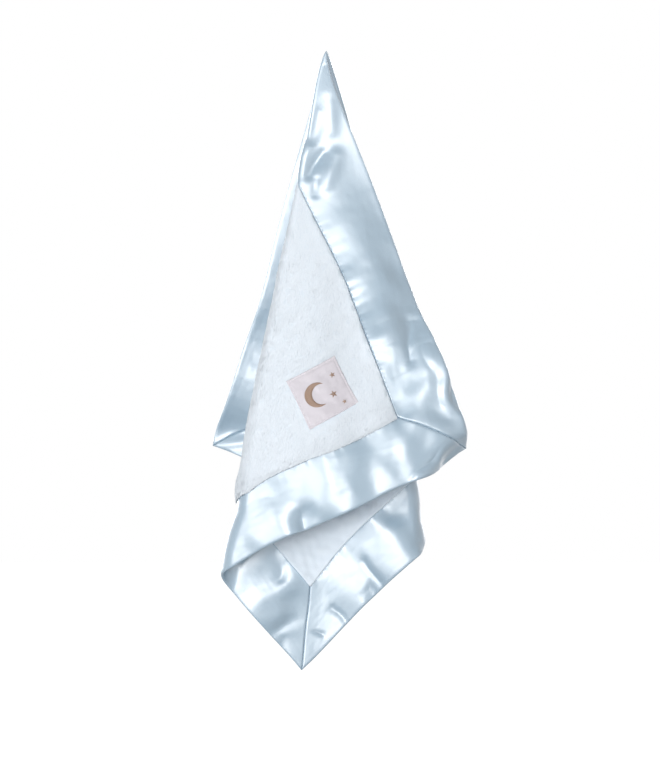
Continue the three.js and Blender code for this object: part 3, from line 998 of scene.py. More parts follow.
def finish_piece(piece: bpy.types.Object, finish: Finishes,
                 replaces: tuple[str, ...] = ()) -> None:
    """Dresses a piece and ties it to the blanket.

    Args:
        piece: The piece.
        finish: What it is made of.
        replaces: Nodes of the model that it stands for.
    """
    piece.data.materials.append(finish.value.material())
    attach(piece, "root")
    if replaces:
        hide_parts(*replaces)
    log.info("%s: %d faces", piece.name, len(piece.data.polygons))


# The satin border

class Side(Enum):
    """The four bands of the border, by where they hang."""

    UPPER_RIGHT = "upper_right"
    UPPER_LEFT = "upper_left"
    LOWER_RIGHT = "lower_right"
    LOWER_LEFT = "lower_left"

    def flat(self, run: np.ndarray, width: np.ndarray,
             side: float) -> tuple[np.ndarray, np.ndarray]:
        """Turns places on a band to places on the blanket.

        Args:
            run: Distances along the band, from the corner nearer the grip.
            width: Distances in from the free edge.
            side: The blanket's side.

        Returns:
            Distances along and across the blanket.
        """
        if self is Side.UPPER_RIGHT:
            return run, width
        if self is Side.UPPER_LEFT:
            return width, run
        if self is Side.LOWER_RIGHT:
            return side - width, run
        return run, side - width


@dataclass
class SatinBorder:
    """A doubled satin band on each side, mitred at the corners and sewn to the plush, in mm."""

    cloth: HungCloth
    cell: float = 0.95
    # Distances from a band's long edges, and from its mitres, that get their own row
    edge_rows: tuple[float, ...] = (0.0, 0.12, 0.45, 1.0, 1.7, 2.6)
    mitre_rows: tuple[float, ...] = (0.0, 0.15, 0.5, 1.1, 1.9)
    edge_roundness: float = 2.4
    seam_roundness: float = 0.8
    reverse_roundness: float = 0.25
    mitre_roundness: float = 1.5
    # Gathers at the seam: how far apart, how far they reach into the band, and how high
    pucker_pitch: float = 9.0
    pucker_reach: float = 5.5
    pucker_height: float = 0.17
    pucker_sway: float = 2.2
    sway_length: float = 46.0
    lobe_share: float = 0.6
    lobe_length: float = 11.0
    lobe_stretch: float = 0.5
    strength_share: float = 0.45
    strength_length: float = 70.0
    # Nips that single stitches pull in beside the seam
    nip_pitch: float = 4.0
    nip_depth: float = 0.045
    nip_place: float = 2.0
    nip_width: float = 1.1
    nip_sway: float = 0.6
    beat_share: float = 0.6
    beat_length: float = 19.0
    # Faint crinkles over the whole band
    crinkle_height: float = 0.06
    crinkle_length: float = 17.0
    crinkle_stretch: float = 0.6
    fine_crinkle_height: float = 0.03
    fine_crinkle_length: float = 6.0
    fine_crinkle_stretch: float = 0.5
    # How much of all that the grip leaves, and the distances over which it comes back
    gripped_share: float = 0.25
    gripped_distances: tuple[float, float] = (20.0, 150.0)

    def spans(self, length: float, fine: tuple[float, ...]) -> np.ndarray:
        """Places from 0 to a length, crowded at both ends.

        Args:
            length: The whole length, in mm.
            fine: Distances from each end that get their own row.

        Returns:
            The places in mm.
        """
        ends = np.array(fine)
        middle = np.linspace(ends[-1], length - ends[-1], int(length / self.cell))
        return np.concatenate([ends[:-1], middle, length - ends[:-1][::-1]])

    def puff(self, run: np.ndarray, width: np.ndarray, seed: int) -> np.ndarray:
        """Extra height of one face: gathers at the seam and faint crinkles.

        Args:
            run: Distances along the band.
            width: Distances in from the free edge.
            seed: Picks the pattern.

        Returns:
            Heights in mm.
        """
        from_seam = self.cloth.cut.band_width - width
        sway = self.pucker_sway * waves(run, run * 0, self.sway_length, seed)
        lobes = np.sin(2 * math.pi * (run + sway) / self.pucker_pitch)
        lobes = lobes + self.lobe_share * waves(
            run, from_seam * self.lobe_stretch, self.lobe_length, seed + 1)
        strength = self.strength_share * waves(run, run * 0, self.strength_length, seed + 2)
        strength = 1 - self.strength_share + strength
        gathers = self.pucker_height * strength * lobes * np.exp(-from_seam / self.pucker_reach)
        beat = 1 + np.cos(2 * math.pi * (run + self.nip_sway * sway) / self.nip_pitch)
        strong = self.beat_share * waves(run, run * 0, self.beat_length, seed + 5)
        beat = beat * (self.beat_share + strong)
        pull = np.exp(-(((from_seam - self.nip_place) / self.nip_width) ** 2))
        crinkles = self.crinkle_height * waves(
            run, width * self.crinkle_stretch, self.crinkle_length, seed + 3)
        fine = self.fine_crinkle_height * waves(
            run * self.fine_crinkle_stretch, width, self.fine_crinkle_length, seed + 4)
        return gathers - self.nip_depth * pull * beat + (crinkles + fine)

    def height(self, side: Side, run: np.ndarray, width: np.ndarray, sign: int) -> np.ndarray:
        """Height of one face over the middle surface.

        Args:
            side: Which band.
            run: Distances along the band.
            width: Distances in from its free edge.
            sign: 1 for the furry face and -1 for the reverse.

        Returns:
            Heights in mm, above 0 on both faces.
        """
        cut = self.cloth.cut
        from_mitre = np.minimum(run - width, cut.side - width - run) / math.sqrt(2.0)
        seam = self.seam_roundness if sign > 0 else self.reverse_roundness
        profile = rounded(width, self.edge_roundness) * rounded(cut.band_width - width, seam)
        profile = profile * rounded(from_mitre, self.mitre_roundness)
        distance = np.hypot(*side.flat(run, width, cut.side))
        calm = mix(self.gripped_share, 1.0, ease(distance, *self.gripped_distances))
        seed = 100 + 10 * list(Side).index(side) + (50 if sign < 0 else 0)
        return profile * (cut.satin(distance) / 2 + calm * self.puff(run, width, seed))

    def band(self, side: Side) -> bpy.types.Object:
        """Makes one band.

        Args:
            side: Which one.

        Returns:
            The band.
        """
        cut = self.cloth.cut
        width = self.spans(cut.band_width, self.edge_rows)[:, None]
        share = self.spans(cut.side, self.mitre_rows)[None, :] / cut.side
        run = mix(width, cut.side - width, share)
        width = np.broadcast_to(width, run.shape)
        along, across = side.flat(run, width, cut.side)
        faces = [self.cloth.raised(along, across, sign * self.height(side, run, width, sign))
                 for sign in (1, -1)]
        places, quads, source = closed_sheet(*faces)
        uv = np.stack([run, width], -1).reshape(-1, 2)[source] / cut.side
        piece = make_piece(f"satin_band_{side.value}", places, [quads], uv)
        finish_piece(piece, Finishes.SATIN, (f"border_{side.value}",))
        return piece

    def build(self) -> list[bpy.types.Object]:
        """All four bands."""
        return [self.band(side) for side in Side]


# The plush centre

@dataclass
class PlushCentre:
    """The two plush faces that the border frames: long pile in front, short pile behind."""

    cloth: HungCloth
    cell: float = 1.7
    front_seam_dip: float = 4.0
    reverse_seam_dip: float = 0.5
    reverse_tuck: float = 0.5
    ground_share: float = 0.85
    rim_row: float = 0.5
    lump_height: float = 0.35
    lump_length: float = 9.0
    lump_waves: int = 24
    lump_distances: tuple[float, float] = (60.0, 200.0)

    def face(self, name: str, sign: int, pressed: float, full: float, share: float,
             finish: Finishes) -> bpy.types.Object:
        """Makes one face.

        Args:
            name: The node that it replaces.
            sign: 1 for the furry face and -1 for the reverse.
            pressed: Thickness in the grip.
            full: Thickness elsewhere.
            share: How much of the thickness is cloth and not loose pile.
            finish: What it is made of.

        Returns:
            The face.
        """
        cut = self.cloth.cut
        rim = cut.seam_gap / 2
        start = rim if sign > 0 else -self.reverse_tuck
        cells = int((cut.inner - cut.band_width) / self.cell)
        line = np.linspace(cut.band_width + start, cut.inner - start, cells)
        rows = line[[0, -1]] + [self.rim_row, -self.rim_row]
        line = np.sort(np.concatenate([line, rows]))
        along, across = np.meshgrid(line, line, indexing="ij")
        distance = np.hypot(along, across)
        dip = self.front_seam_dip if sign > 0 else self.reverse_seam_dip
        dome = rounded(inset(along, across, line[0], line[-1]), dip)
        thick = cut.thick(pressed, full, distance) * share
        lumps = waves(along, across, self.lump_length, 31 + sign, self.lump_waves)
        lumps = self.lump_height * ease(distance, *self.lump_distances) * lumps
        high = rim + dome * (thick + lumps)
        outer = self.cloth.raised(along, across, sign * high)
        inner = self.cloth.raised(along, across, sign * rim * 0.5 * dome)
        places, quads, source = closed_sheet(outer, inner)
        uv = np.stack([along, across], -1).reshape(-1, 2)[source] / cut.side
        piece = make_piece(name.replace("plush", "plush_ground"), places, [quads], uv)
        finish_piece(piece, finish, (name,))
        return piece

    def build(self) -> list[bpy.types.Object]:
        """Both faces.

        Returns:
            The furry face and the reverse.
        """
        cut = self.cloth.cut
        return [
            self.face("plush_front", 1, cut.front_pressed, cut.front_full, self.ground_share,
                      Finishes.GROUND),
            self.face("plush_back", -1, cut.back_pressed, cut.back_full, 1.0,
                      Finishes.REVERSE),
        ]


@dataclass
class LabelPlace:
    """Where the label lies on the plush, as distances down and left from its middle, in mm."""

    cloth: HungCloth
    side: float = 44.5
    from_right_seam: float = 27.0
    from_lower_seam: float = 23.0
    sink: float = 0.9
    dome: float = 0.7
    lift: float = 0.5
    turn_angle: float = 7.0

    @property
    def middle(self) -> tuple[float, float]:
        """The label's middle, along and across the blanket."""
        cut = self.cloth.cut
        return (cut.inner - self.from_lower_seam - self.side / 2,
                cut.band_width + self.from_right_seam + self.side / 2)

    @property
    def turned(self) -> tuple[float, float]:
        """Cosine and sine of the label's turn."""
        return math.cos(math.radians(self.turn_angle)), math.sin(math.radians(self.turn_angle))

    def covers(self, along: np.ndarray, across: np.ndarray, margin: float) -> np.ndarray:
        """Which places lie under the label.

        Args:
            along: Distances along the blanket.
            across: Distances across it.
            margin: How far the label is drawn in all round.

        Returns:
            True under the label.
        """
        half = self.side / 2 - margin
        cos, sin = self.turned
        along, across = along - self.middle[0], across - self.middle[1]
        down, left = along * cos - across * sin, along * sin + across * cos
        return (np.abs(down) < half) & (np.abs(left) < half)

    def raised(self, down: np.ndarray, left: np.ndarray, height: np.ndarray) -> np.ndarray:
        """Places over the label's underside.

        Args:
            down: Distances towards the lower band.
            left: Distances away from the right band.
            height: Heights over the underside.

        Returns:
            Places in mm.
        """
        cos, sin = self.turned
        along = self.middle[0] + down * cos + left * sin
        across = self.middle[1] + left * cos - down * sin
        cut = self.cloth.cut
        pile = cut.thick(cut.front_pressed, cut.front_full, np.hypot(along, across))
        bow_down, bow_left = (np.clip(1 - (2 * reach / self.side) ** 2, 0.0, 1.0)
                              for reach in (down, left))
        bow = bow_down * bow_left
        base = cut.seam_gap / 2 + pile + self.lift - self.sink + self.dome * bow
        return self.cloth.raised(along, across, base + height)


@dataclass
class BrushedPile:
    """Long soft tufts over the furry face, brushed down the way the cloth hangs, in mm."""

    centre: PlushCentre
    label: LabelPlace
    pieces: int = 3
    # Where the roots stand: a scattered grid, and a denser row beside the lower right seam
    spacing: float = 1.12
    scatter: float = 0.48
    rim: float = 0.8
    edge_spacing: float = 0.35
    edge_depth: float = 1.2
    label_margin: float = 0.9
    least_ground: float = 0.5
    root_depth: float = 0.3
    # How long the tufts are: shorter in the grip, at the seams and on the back crease, never
    # far over the lower seams, and cut short where they would lie over the label
    length: float = 7.0
    length_spread: tuple[float, float] = (0.78, 1.15)
    grip_share: float = 0.45
    grip_distances: tuple[float, float] = (70.0, 170.0)
    seam_loss: float = 0.3
    seam_reach: float = 7.0
    crease_loss: float = 0.6
    crease_degrees: float = 7.0
    seam_lap: float = 2.2
    seam_lap_share: float = 0.9
    shortest: float = 2.2
    label_share: float = 0.45
    label_ahead: float = 5.5
    label_inset: float = 0.8
    # How they lie: their sway in degrees, and their rise as a share of their length
    sway_degrees: float = 6.0
    sway_length: float = 21.0
    sway_scatter: float = 4.5
    rise: float = 0.13
    rise_spread: tuple[float, float] = (0.88, 1.12)
    least_rise: float = 0.1
    middle_layer_share: float = 0.6
    clump_pitch: float = 13.0
    clump_rise: float = 0.15
    clump_gather: float = 0.06
    # One tuft: a flat three-sided spike with a bend, and shading softened towards the cloth's.
    # It stands for a lock of hairs, for single hairs would fall between pixels.
    width: float = 1.25
    flatness: float = 0.6
    bend_width: float = 0.95
    bend_reach: float = 0.36
    bend_rise: float = 0.62
    bend_gather: float = 0.4
    tip_reach: float = 0.88
    softness: float = 0.9
    tip_softness: tuple[float, float] = (0.9, 0.25)
    # The bend's place on the painted root-to-tip shade, and how the tufts' own tones differ
    bend_painted_shade_place: float = 0.6
    tone_swell: float = 0.25
    tone_length: float = 30.0
    tone_scatter: float = 0.3

    def roots(self, chance: np.random.Generator) -> tuple[np.ndarray, np.ndarray]:
        """Scattered places for the tufts, clear of the label.

        Args:
            chance: The seeded source of randomness.

        Returns:
            Distances along and across the blanket.
        """
        cut = self.centre.cloth.cut
        low, high = cut.band_width + self.rim, cut.inner - self.rim
        line = np.arange(low, high, self.spacing)
        along, across = (
            np.clip(flat + chance.uniform(-self.scatter, self.scatter, flat.size) * self.spacing,
                    low, high)
            for flat in map(np.ravel, np.meshgrid(line, line, indexing="ij")))
        edge = np.arange(low, high, self.edge_spacing)
        along = np.concatenate([along, high - chance.uniform(0.0, self.edge_depth, edge.shape)])
        across = np.concatenate([across, edge])
        bare = self.label.covers(along, across, self.label_margin)
        return along[~bare], across[~bare]

    def brushed(self, along: np.ndarray, across: np.ndarray, normal: np.ndarray,
                chance: np.random.Generator) -> tuple[np.ndarray, np.ndarray]:
        """Which way each tuft is brushed.

        Args:
            along: Roots' distances along the blanket.
            across: Roots' distances across it.
            normal: The cloth's normals there.
            chance: The seeded source of randomness.

        Returns:
            Unit directions down the tuft's way and sideways from it, along the cloth.
        """
        down = unit(np.array([0.0, 0.0, -1.0]) + normal * normal[:, 2:3])
        side = unit(np.cross(down, normal))
        sway = self.sway_degrees * waves(along, across, self.sway_length, 41)
        sway = np.radians(sway + chance.normal(0.0, self.sway_scatter, len(along)))
        cos, sin = np.cos(sway)[:, None], np.sin(sway)[:, None]
        return down * cos + side * sin, side * cos - down * sin

    def lengths(self, along: np.ndarray, across: np.ndarray,
                chance: np.random.Generator) -> np.ndarray:
        """How long each tuft is.

        Args:
            along: Roots' distances along the blanket.
            across: Roots' distances across it.
            chance: The seeded source of randomness.

        Returns:
            Lengths in mm.
        """
        cut = self.centre.cloth.cut
        distance = np.hypot(along, across)
        edge = inset(along, across, cut.band_width, cut.inner)
        length = self.length * chance.uniform(*self.length_spread, len(along))
        length = length * mix(self.grip_share, 1.0, ease(distance, *self.grip_distances))
        length = length * (1 - self.seam_loss + self.seam_loss * ease(edge, 0.0, self.seam_reach))
        bend = np.degrees(np.arctan2(across, along)) - self.centre.cloth.back_fold
        bend = bend / self.crease_degrees
        length = length * (1 - self.crease_loss * np.exp(-(bend**2)))
        free = np.minimum((cut.inner - along) / along, (cut.inner - across) / across) * distance
        free = (free + self.seam_lap) / self.seam_lap_share
        length = np.minimum(length, np.maximum(free, self.shortest))
        ahead = 1 + self.label_ahead / distance
        over = self.label.covers(along * ahead, across * ahead, self.label_inset)
        return np.where(over, self.label_share, 1.0) * length

    def rises(self, along: np.ndarray, across: np.ndarray,
              chance: np.random.Generator) -> np.ndarray:
        """How far each tuft's tip stands out from the cloth. Tufts between layers lie flatter.

        Args:
            along: Roots' distances along the blanket.
            across: Roots' distances across it.
            chance: The seeded source of randomness.

        Returns:
            Heights, as shares of the tufts' lengths.
        """
        layered = np.degrees(np.arctan2(across, along)) > self.centre.cloth.front_fold
        rise = self.rise * np.where(layered, self.middle_layer_share, 1.0)
        rise = rise * (1 + self.clump_rise * waves(along, across, self.clump_pitch, 43))
        return np.maximum(rise * chance.uniform(*self.rise_spread, len(along)), self.least_rise)

    def spikes(self, line: tuple[np.ndarray, np.ndarray, np.ndarray],
               axes: tuple[np.ndarray, np.ndarray, np.ndarray]) -> tuple[np.ndarray, np.ndarray]:
        """The points of the tufts: three round the root, three round the bend, and the tip.

        Args:
            line: Places of each tuft's root, bend and tip.
            axes: Each tuft's normal, down and sideways directions.

        Returns:
            Tufts by seven points by 3, and a shading normal for each point.
        """
        root, bend, tip = line
        normal, down, side = axes
        points, soft = [], []
        for centre, share in ((root, 1.0), (bend, self.bend_width)):
            for turn in np.radians([90.0, 210.0, 330.0]):
                out = side * math.cos(turn) + normal * math.sin(turn) * self.flatness
                points.append(centre + out * (0.5 * self.width * share))
                soft.append(unit(normal * self.softness + unit(out) * (1 - self.softness)))
        soft.append(unit(normal * self.tip_softness[0] + down * self.tip_softness[1]))
        return np.stack([*points, tip], axis=1), np.stack(soft, axis=1)

    def tufts(self, name: str, along: np.ndarray, across: np.ndarray,
              chance: np.random.Generator) -> bpy.types.Object:
        """Makes one piece of the pile.

        Args:
            name: Its name.
            along: Roots' distances along the blanket.
            across: Roots' distances across it.
            chance: The seeded source of randomness.

        Returns:
            The piece.
        """
        cut = self.centre.cloth.cut
        place, normal = self.centre.cloth.at(along, across)
        ground = cut.thick(cut.front_pressed, cut.front_full, np.hypot(along, across))
        dome = rounded(inset(along, across, cut.band_width, cut.inner), self.centre.front_seam_dip)
        ground = cut.seam_gap / 2 + ground * self.centre.ground_share * dome
        root = place + normal * (np.maximum(ground, self.least_ground) - self.root_depth)[:, None]
        down, side = self.brushed(along, across, normal, chance)
        length = self.lengths(along, across, chance)[:, None]
        rise = self.rises(along, across, chance)[:, None]
        gather = (self.clump_gather * waves(along, across, self.clump_pitch, 44))[:, None]
        bend = root + length * (normal * self.bend_rise * rise + down * self.bend_reach
                                + side * self.bend_gather * gather)
        tip = root + length * (normal * rise + down * self.tip_reach + side * gather)
        points, soft = self.spikes((root, bend, tip), (normal, down, side))
        number = np.arange(len(along))[:, None] * 7
        ways = [(corner, (corner + 1) % 3) for corner in range(3)]
        quads = np.concatenate([number + np.array([[a, 3 + a, 3 + b, b]]) for a, b in ways])
        triangles = np.concatenate([number + np.array([[3 + a, 6, 3 + b]]) for a, b in ways])
        caps = number + np.array([[0, 1, 2]])
        tone = 0.5 + self.tone_swell * waves(along, across, self.tone_length, 45)
        tone = np.clip(tone + chance.normal(0.0, self.tone_scatter, len(along)), 0.0, 1.0)
        # Each point's place on the painted shade, darkest at the root and palest at the tip
        reach = np.tile([0.0] * 3 + [self.bend_painted_shade_place] * 3 + [1.0], (len(along), 1))
        uv = np.stack([np.repeat(tone[:, None], 7, 1), reach], -1)
        piece = make_piece(name, points, [quads, triangles, caps], uv, soft)
        finish_piece(piece, Finishes.PILE)
        return piece

    def build(self) -> list[bpy.types.Object]:
        """The whole pile, in pieces of like size.

        Returns:
            The pieces.
        """
        chance = np.random.default_rng(7)
        along, across = self.roots(chance)
        parts = np.array_split(np.argsort(along, kind="stable"), self.pieces)
        return [self.tufts(f"plush_pile_{number}", along[part], across[part], chance)
                for number, part in enumerate(parts, 1)]


# Sewing

def thread_runs(name: str, centres: np.ndarray, up: np.ndarray, radius: float,
                sides: int = 6, end_share: float = 0.35) -> bpy.types.Object:
    """Makes many short threads as one mesh.

    Args:
        name: The piece's name.
        centres: Threads by rings by 3, in mm.
        up: A direction out of the cloth for each thread.
        radius: The thread's radius.
        sides: Corners of its section.
        end_share: How far it narrows at both ends.

    Returns:
        The piece.
    """
    count, rings = centres.shape[:2]
    run = unit(np.gradient(centres, axis=1))
    side = unit(np.cross(run, up[:, None, :]))
    over = np.cross(side, run)
    taper = np.full(rings, 1.0)
    taper[[0, -1]] = end_share
    turn = np.linspace(0.0, 2 * math.pi, sides, endpoint=False)
    out = side[:, :, None, :] * np.cos(turn)[:, None]
    out = out + over[:, :, None, :] * np.sin(turn)[:, None]
    points = centres[:, :, None, :] + out * (radius * taper)[None, :, None, None]
    number = np.arange(count * rings * sides).reshape(count, rings, sides)
    following = np.roll(number, -1, axis=2)
    corners = [number[:, :-1], following[:, :-1], following[:, 1:], number[:, 1:]]
    quads = np.stack(corners, -1).reshape(-1, 4)
    caps = np.concatenate([number[:, 0, ::-1], number[:, -1]])
    gaps = np.linalg.norm(np.diff(centres, axis=1), axis=2)
    length = np.concatenate([np.zeros((count, 1)), np.cumsum(gaps, axis=1)], axis=1)
    round_it = (turn / (2 * math.pi))[None, None, :]
    uv = np.stack(np.broadcast_arrays(length[:, :, None], round_it), -1)
    return make_piece(name, points, [quads, caps], uv)


class Corner(Enum):
    """The four mitred corners: whether each is far along, and far across, the blanket."""

    TOP = (False, False)
    RIGHT = (True, False)
    BOTTOM = (True, True)
    LEFT = (False, True)


@dataclass
class BorderStitching:
    """Rows of single stitches along the seams, and down the mitres, on both faces, in mm."""

    border: SatinBorder
    stitch: float = 3.0
    pitch: float = 4.0
    radius: float = 0.19
    # How a stitch bows out of the cloth, from end to end, in shares of 1.6 radii
    bow: tuple[float, ...] = (-0.45, 0.0, 0.1, 0.0, -0.45)
    bow_radii: float = 1.6
    seam_inset: float = 1.0
    seam_margin: float = 1.0
    seam_radii: float = 0.4
    mitre_start: float = 3.0
    mitre_margin: float = 1.5
    mitre_height: float = 0.35

    def row(self, start: float, end: float) -> np.ndarray:
        """Places along each stitch of a row, as stitches by rings."""
        first = np.arange(start, end - self.stitch, self.pitch)[:, None]
        return first + np.linspace(0.0, self.stitch, len(self.bow))[None, :]

    def sew(self, name: str, along: np.ndarray, across: np.ndarray, heights: list[np.ndarray],
            node: str) -> bpy.types.Object:
        """Makes a row of stitches on both faces.

        Args:
            name: The piece's name.
            along: Stitches by rings, along the blanket.
            across: The same, across it.
            heights: Heights over the middle surface for the furry face and the reverse.
            node: The node that they replace.

        Returns:
            The piece.
        """
        cloth = self.border.cloth
        bow = np.array(self.bow) * self.radius * self.bow_radii
        middle = len(self.bow) // 2
        normal = cloth.at(along[:, middle], across[:, middle])[1]
        runs = [cloth.raised(along, across, height + sign * bow)
                for height, sign in zip(heights, (1, -1))]
        both = np.concatenate([normal, -normal])
        piece = thread_runs(name, np.concatenate(runs), both, self.radius)
        finish_piece(piece, Finishes.SEWING, (node,))
        return piece

    def seam(self, side: Side) -> bpy.types.Object:
        """The seam of one band.

        Args:
            side: Which band.

        Returns:
            Its stitches.
        """
        cut = self.border.cloth.cut
        run = self.row(cut.band_width + self.seam_margin, cut.inner - self.seam_margin)
        width = np.full(run.shape, cut.band_width - self.seam_inset)
        along, across = side.flat(run, width, cut.side)
        lift = self.seam_radii * self.radius
        heights = [sign * (self.border.height(side, run, width, sign) + lift) for sign in (1, -1)]
        name = f"seam_stitches_{side.value}"
        return self.sew(name, along, across, heights, f"seam_{side.value}")

    def mitre(self, corner: Corner) -> bpy.types.Object:
        """The mitre of one corner, from its tip to the plush.

        Args:
            corner: Which corner.

        Returns:
            Its stitches.
        """
        cut = self.border.cloth.cut
        run = self.row(self.mitre_start, cut.band_width - self.mitre_margin)
        along, across = (cut.side - run if far else run for far in corner.value)
        heights = [np.full(run.shape, sign * self.mitre_height) for sign in (1, -1)]
        name = corner.name.lower()
        return self.sew(f"mitre_stitches_{name}", along, across, heights, f"mitre_{name}")

    def build(self) -> list[bpy.types.Object]:
        """All seams and mitres."""
        return [self.seam(side) for side in Side] + [self.mitre(corner) for corner in Corner]


@dataclass
class SatinLabel:
    """A pale satin label, sewn on the plush, with a crescent and three stars embroidered on it."""

    place: LabelPlace
    thickness: float = 0.8
    cell: float = 0.7
    edge_rows: tuple[float, ...] = (0.0, 0.1, 0.35, 0.8)
    edge_roundness: float = 0.9
    edge_bow: float = 0.7
    # The stitches round its edge, with the trench and nips that they pull in
    stitch_inset: float = 2.0
    stitch: float = 2.0
    stitch_pitch: float = 2.7
    stitch_radius: float = 0.22
    stitch_rises: tuple[float, ...] = (-0.12, 0.08, 0.14, 0.08, -0.12)
    trench_depth: float = 0.34
    trench_width: float = 0.75
    nip_height: float = 0.16
    nip_reach: float = 2.6
    # Soft swells of its face: height, and length from crest to crest
    swells: tuple[tuple[float, float], ...] = ((0.22, 17.0), (0.07, 5.0))
    flat_rim: float = 0.5
    swell_reach: float = 5.0
    # The embroidery: side-by-side threads that stand up between their ends
    fill_pitch: float = 0.42
    fill_radius: float = 0.27
    fill_rise: float = 0.45
    fill_places: tuple[float, ...] = (0.0, 0.12, 0.35, 0.65, 0.88, 1.0)
    fill_rises: tuple[float, ...] = (-0.3, 0.55, 1.0, 1.0, 0.55, -0.3)
    fill_full_length: float = 2.0
    fill_least_share: float = 0.35
    # The crescent, bitten out of a disc by a smaller one
    moon_radius: float = 10.0
    bite_radius: float = 8.4
    bite_shift: float = 4.6
    moon_shift_share: float = 0.1
    motif_turn: float = -0.8 * QUARTER
    # The stars: down and left from the middle, as shares of the label's side, and their size
    stars: tuple[tuple[float, float, float], ...] = (
        (0.12, -0.16, 1.0), (-0.2, -0.3, 0.75), (0.34, -0.27, 0.6))
    star_points: int = 5
    star_radius: float = 3.0
    star_inner_share: float = 0.42
    star_filled_share: float = 0.8
    star_first_share: float = 0.3
    star_middle_places: tuple[float, ...] = (0.35, 0.75)

    def surface(self, down: np.ndarray, left: np.ndarray) -> np.ndarray:
        """Height of the label's face, with the dips that its stitches pull in.

        Args:
            down: Distances down from the label's middle.
            left: Distances left from it.

        Returns:
            Heights over its underside, in mm.
        """
        from_down, from_left = (self.place.side / 2 - np.abs(reach) for reach in (down, left))
        away = np.minimum(from_down, from_left)
        trench = np.exp(-(((away - self.stitch_inset) / self.trench_width) ** 2))
        run = np.where(from_down < from_left, left, down)
        nips = self.nip_height * np.cos(2 * math.pi * run / (2 * self.stitch_pitch))
        nips = nips * np.exp(-away / self.nip_reach)
        swells = [height * waves(down, left, length, 61 + number)
                  for number, (height, length) in enumerate(self.swells)]
        soft = sum(swells) * ease(away, self.flat_rim, self.swell_reach)
        high = self.thickness - self.trench_depth * trench + nips + soft
        return rounded(away, self.edge_roundness) * high

    def patch(self) -> bpy.types.Object:
        """The label itself.

        Returns:
            The label, without its sewing.
        """
        half = self.place.side / 2
        fine = np.array(self.edge_rows)
        middle = np.linspace(fine[-1] - half, half - fine[-1], int(2 * half / self.cell))
        line = np.concatenate([fine[:-1] - half, middle, half - fine[:-1][::-1]])
        down, left = np.meshgrid(line, line, indexing="ij")
        bow_down, bow_left = (
            here * (1 - self.edge_bow / half * (1 - (other / half) ** 2) * np.abs(here / half) ** 3)
            for here, other in ((down, left), (left, down)))
        top = self.place.raised(bow_down, bow_left, self.surface(down, left))
        base = self.place.raised(bow_down, bow_left, down * 0.0)
        places, quads, source = closed_sheet(top, base)
        uv = np.stack([down + half, left + half], -1).reshape(-1, 2)[source]
        piece = make_piece("satin_label", places, [quads], uv / self.place.cloth.cut.side)
        finish_piece(piece, Finishes.PATCH, ("label_patch",))
        return piece

    def threads(self, name: str, down: np.ndarray, left: np.ndarray, rise: np.ndarray,
                radius: float, finish: Finishes, node: str) -> bpy.types.Object:
        """Makes threads that lie on the label.

        Args:
            name: The piece's name.
            down: Threads by rings, down from the label's middle.
            left: The same, to the left.
            rise: Height of each ring's middle over the label.
            radius: The thread's radius.
            finish: What it is made of.
            node: The node that it replaces.

        Returns:
            The piece.
        """
        centres = self.place.raised(down, left, self.surface(down, left) + rise)
        middle = down.shape[1] // 2
        lower = self.place.raised(down[:, middle], left[:, middle], 0.0 * down[:, middle])
        piece = thread_runs(name, centres, unit(centres[:, middle] - lower), radius)
        finish_piece(piece, finish, (node,))
        return piece

    def edge_stitches(self) -> bpy.types.Object:
        """The row of stitches round the label's edge.

        Returns:
            The stitches.
        """
        reach = self.place.side / 2 - self.stitch_inset
        first = np.arange(-reach, reach - self.stitch, self.stitch_pitch)[:, None]
        run = first + np.linspace(0.0, self.stitch, len(self.stitch_rises))[None, :]
        rim = np.full(run.shape, reach)
        down = np.concatenate([run, rim, -run, -rim])
        left = np.concatenate([rim, -run, -rim, run])
        rise = np.broadcast_to(np.array(self.stitch_rises), down.shape)
        return self.threads("label_edge_stitches", down, left, rise, self.stitch_radius,
                            Finishes.PATCH_SEWING, "patch_stitch")

    def filling(self, name: str, starts: np.ndarray, stops: np.ndarray,
                node: str) -> bpy.types.Object:
        """Fills a shape with side-by-side raised threads.

        Args:
            name: The piece's name.
            starts: Where each thread starts, down and left.
            stops: Where each ends.
            node: The node that it replaces.

        Returns:
            The piece.
        """
        share = np.array(self.fill_places)[None, :, None]
        path = starts[:, None, :] + (stops - starts)[:, None, :] * share
        length = np.linalg.norm(stops - starts, axis=1)[:, None]
        flat = np.clip(length / self.fill_full_length, self.fill_least_share, 1.0)
        rise = self.fill_rise * np.array(self.fill_rises)[None, :] * flat
        return self.threads(name, path[..., 0], path[..., 1], rise, self.fill_radius,
                            Finishes.EMBROIDERY, node)

    def moon(self) -> bpy.types.Object:
        """The crescent: threads run from its outer arc to its bite.

        Returns:
            The crescent.
        """
        r, b, s = self.moon_radius, self.bite_radius, self.bite_shift
        tip = math.acos((r * r + s * s - b * b) / (2 * r * s))
        bite_tip = math.atan2(r * math.sin(tip), r * math.cos(tip) - s)
        count = int((2 * math.pi - 2 * tip) * r / self.fill_pitch)
        share = (np.arange(count) + 0.5) / count
        outer, bite = (mix(horn, 2 * math.pi - horn, share) for horn in (tip, bite_tip))
        cos, sin = math.cos(self.motif_turn), math.sin(self.motif_turn)
        centre = self.moon_shift_share * self.place.side
        ends = []
        for x, y in ((r * np.cos(outer), r * np.sin(outer)),
                     (s + b * np.cos(bite), b * np.sin(bite))):
            ends.append(np.stack([x * cos - y * sin, x * sin + y * cos + centre], -1))
        return self.filling("embroidered_moon", *ends, "patch_moon")

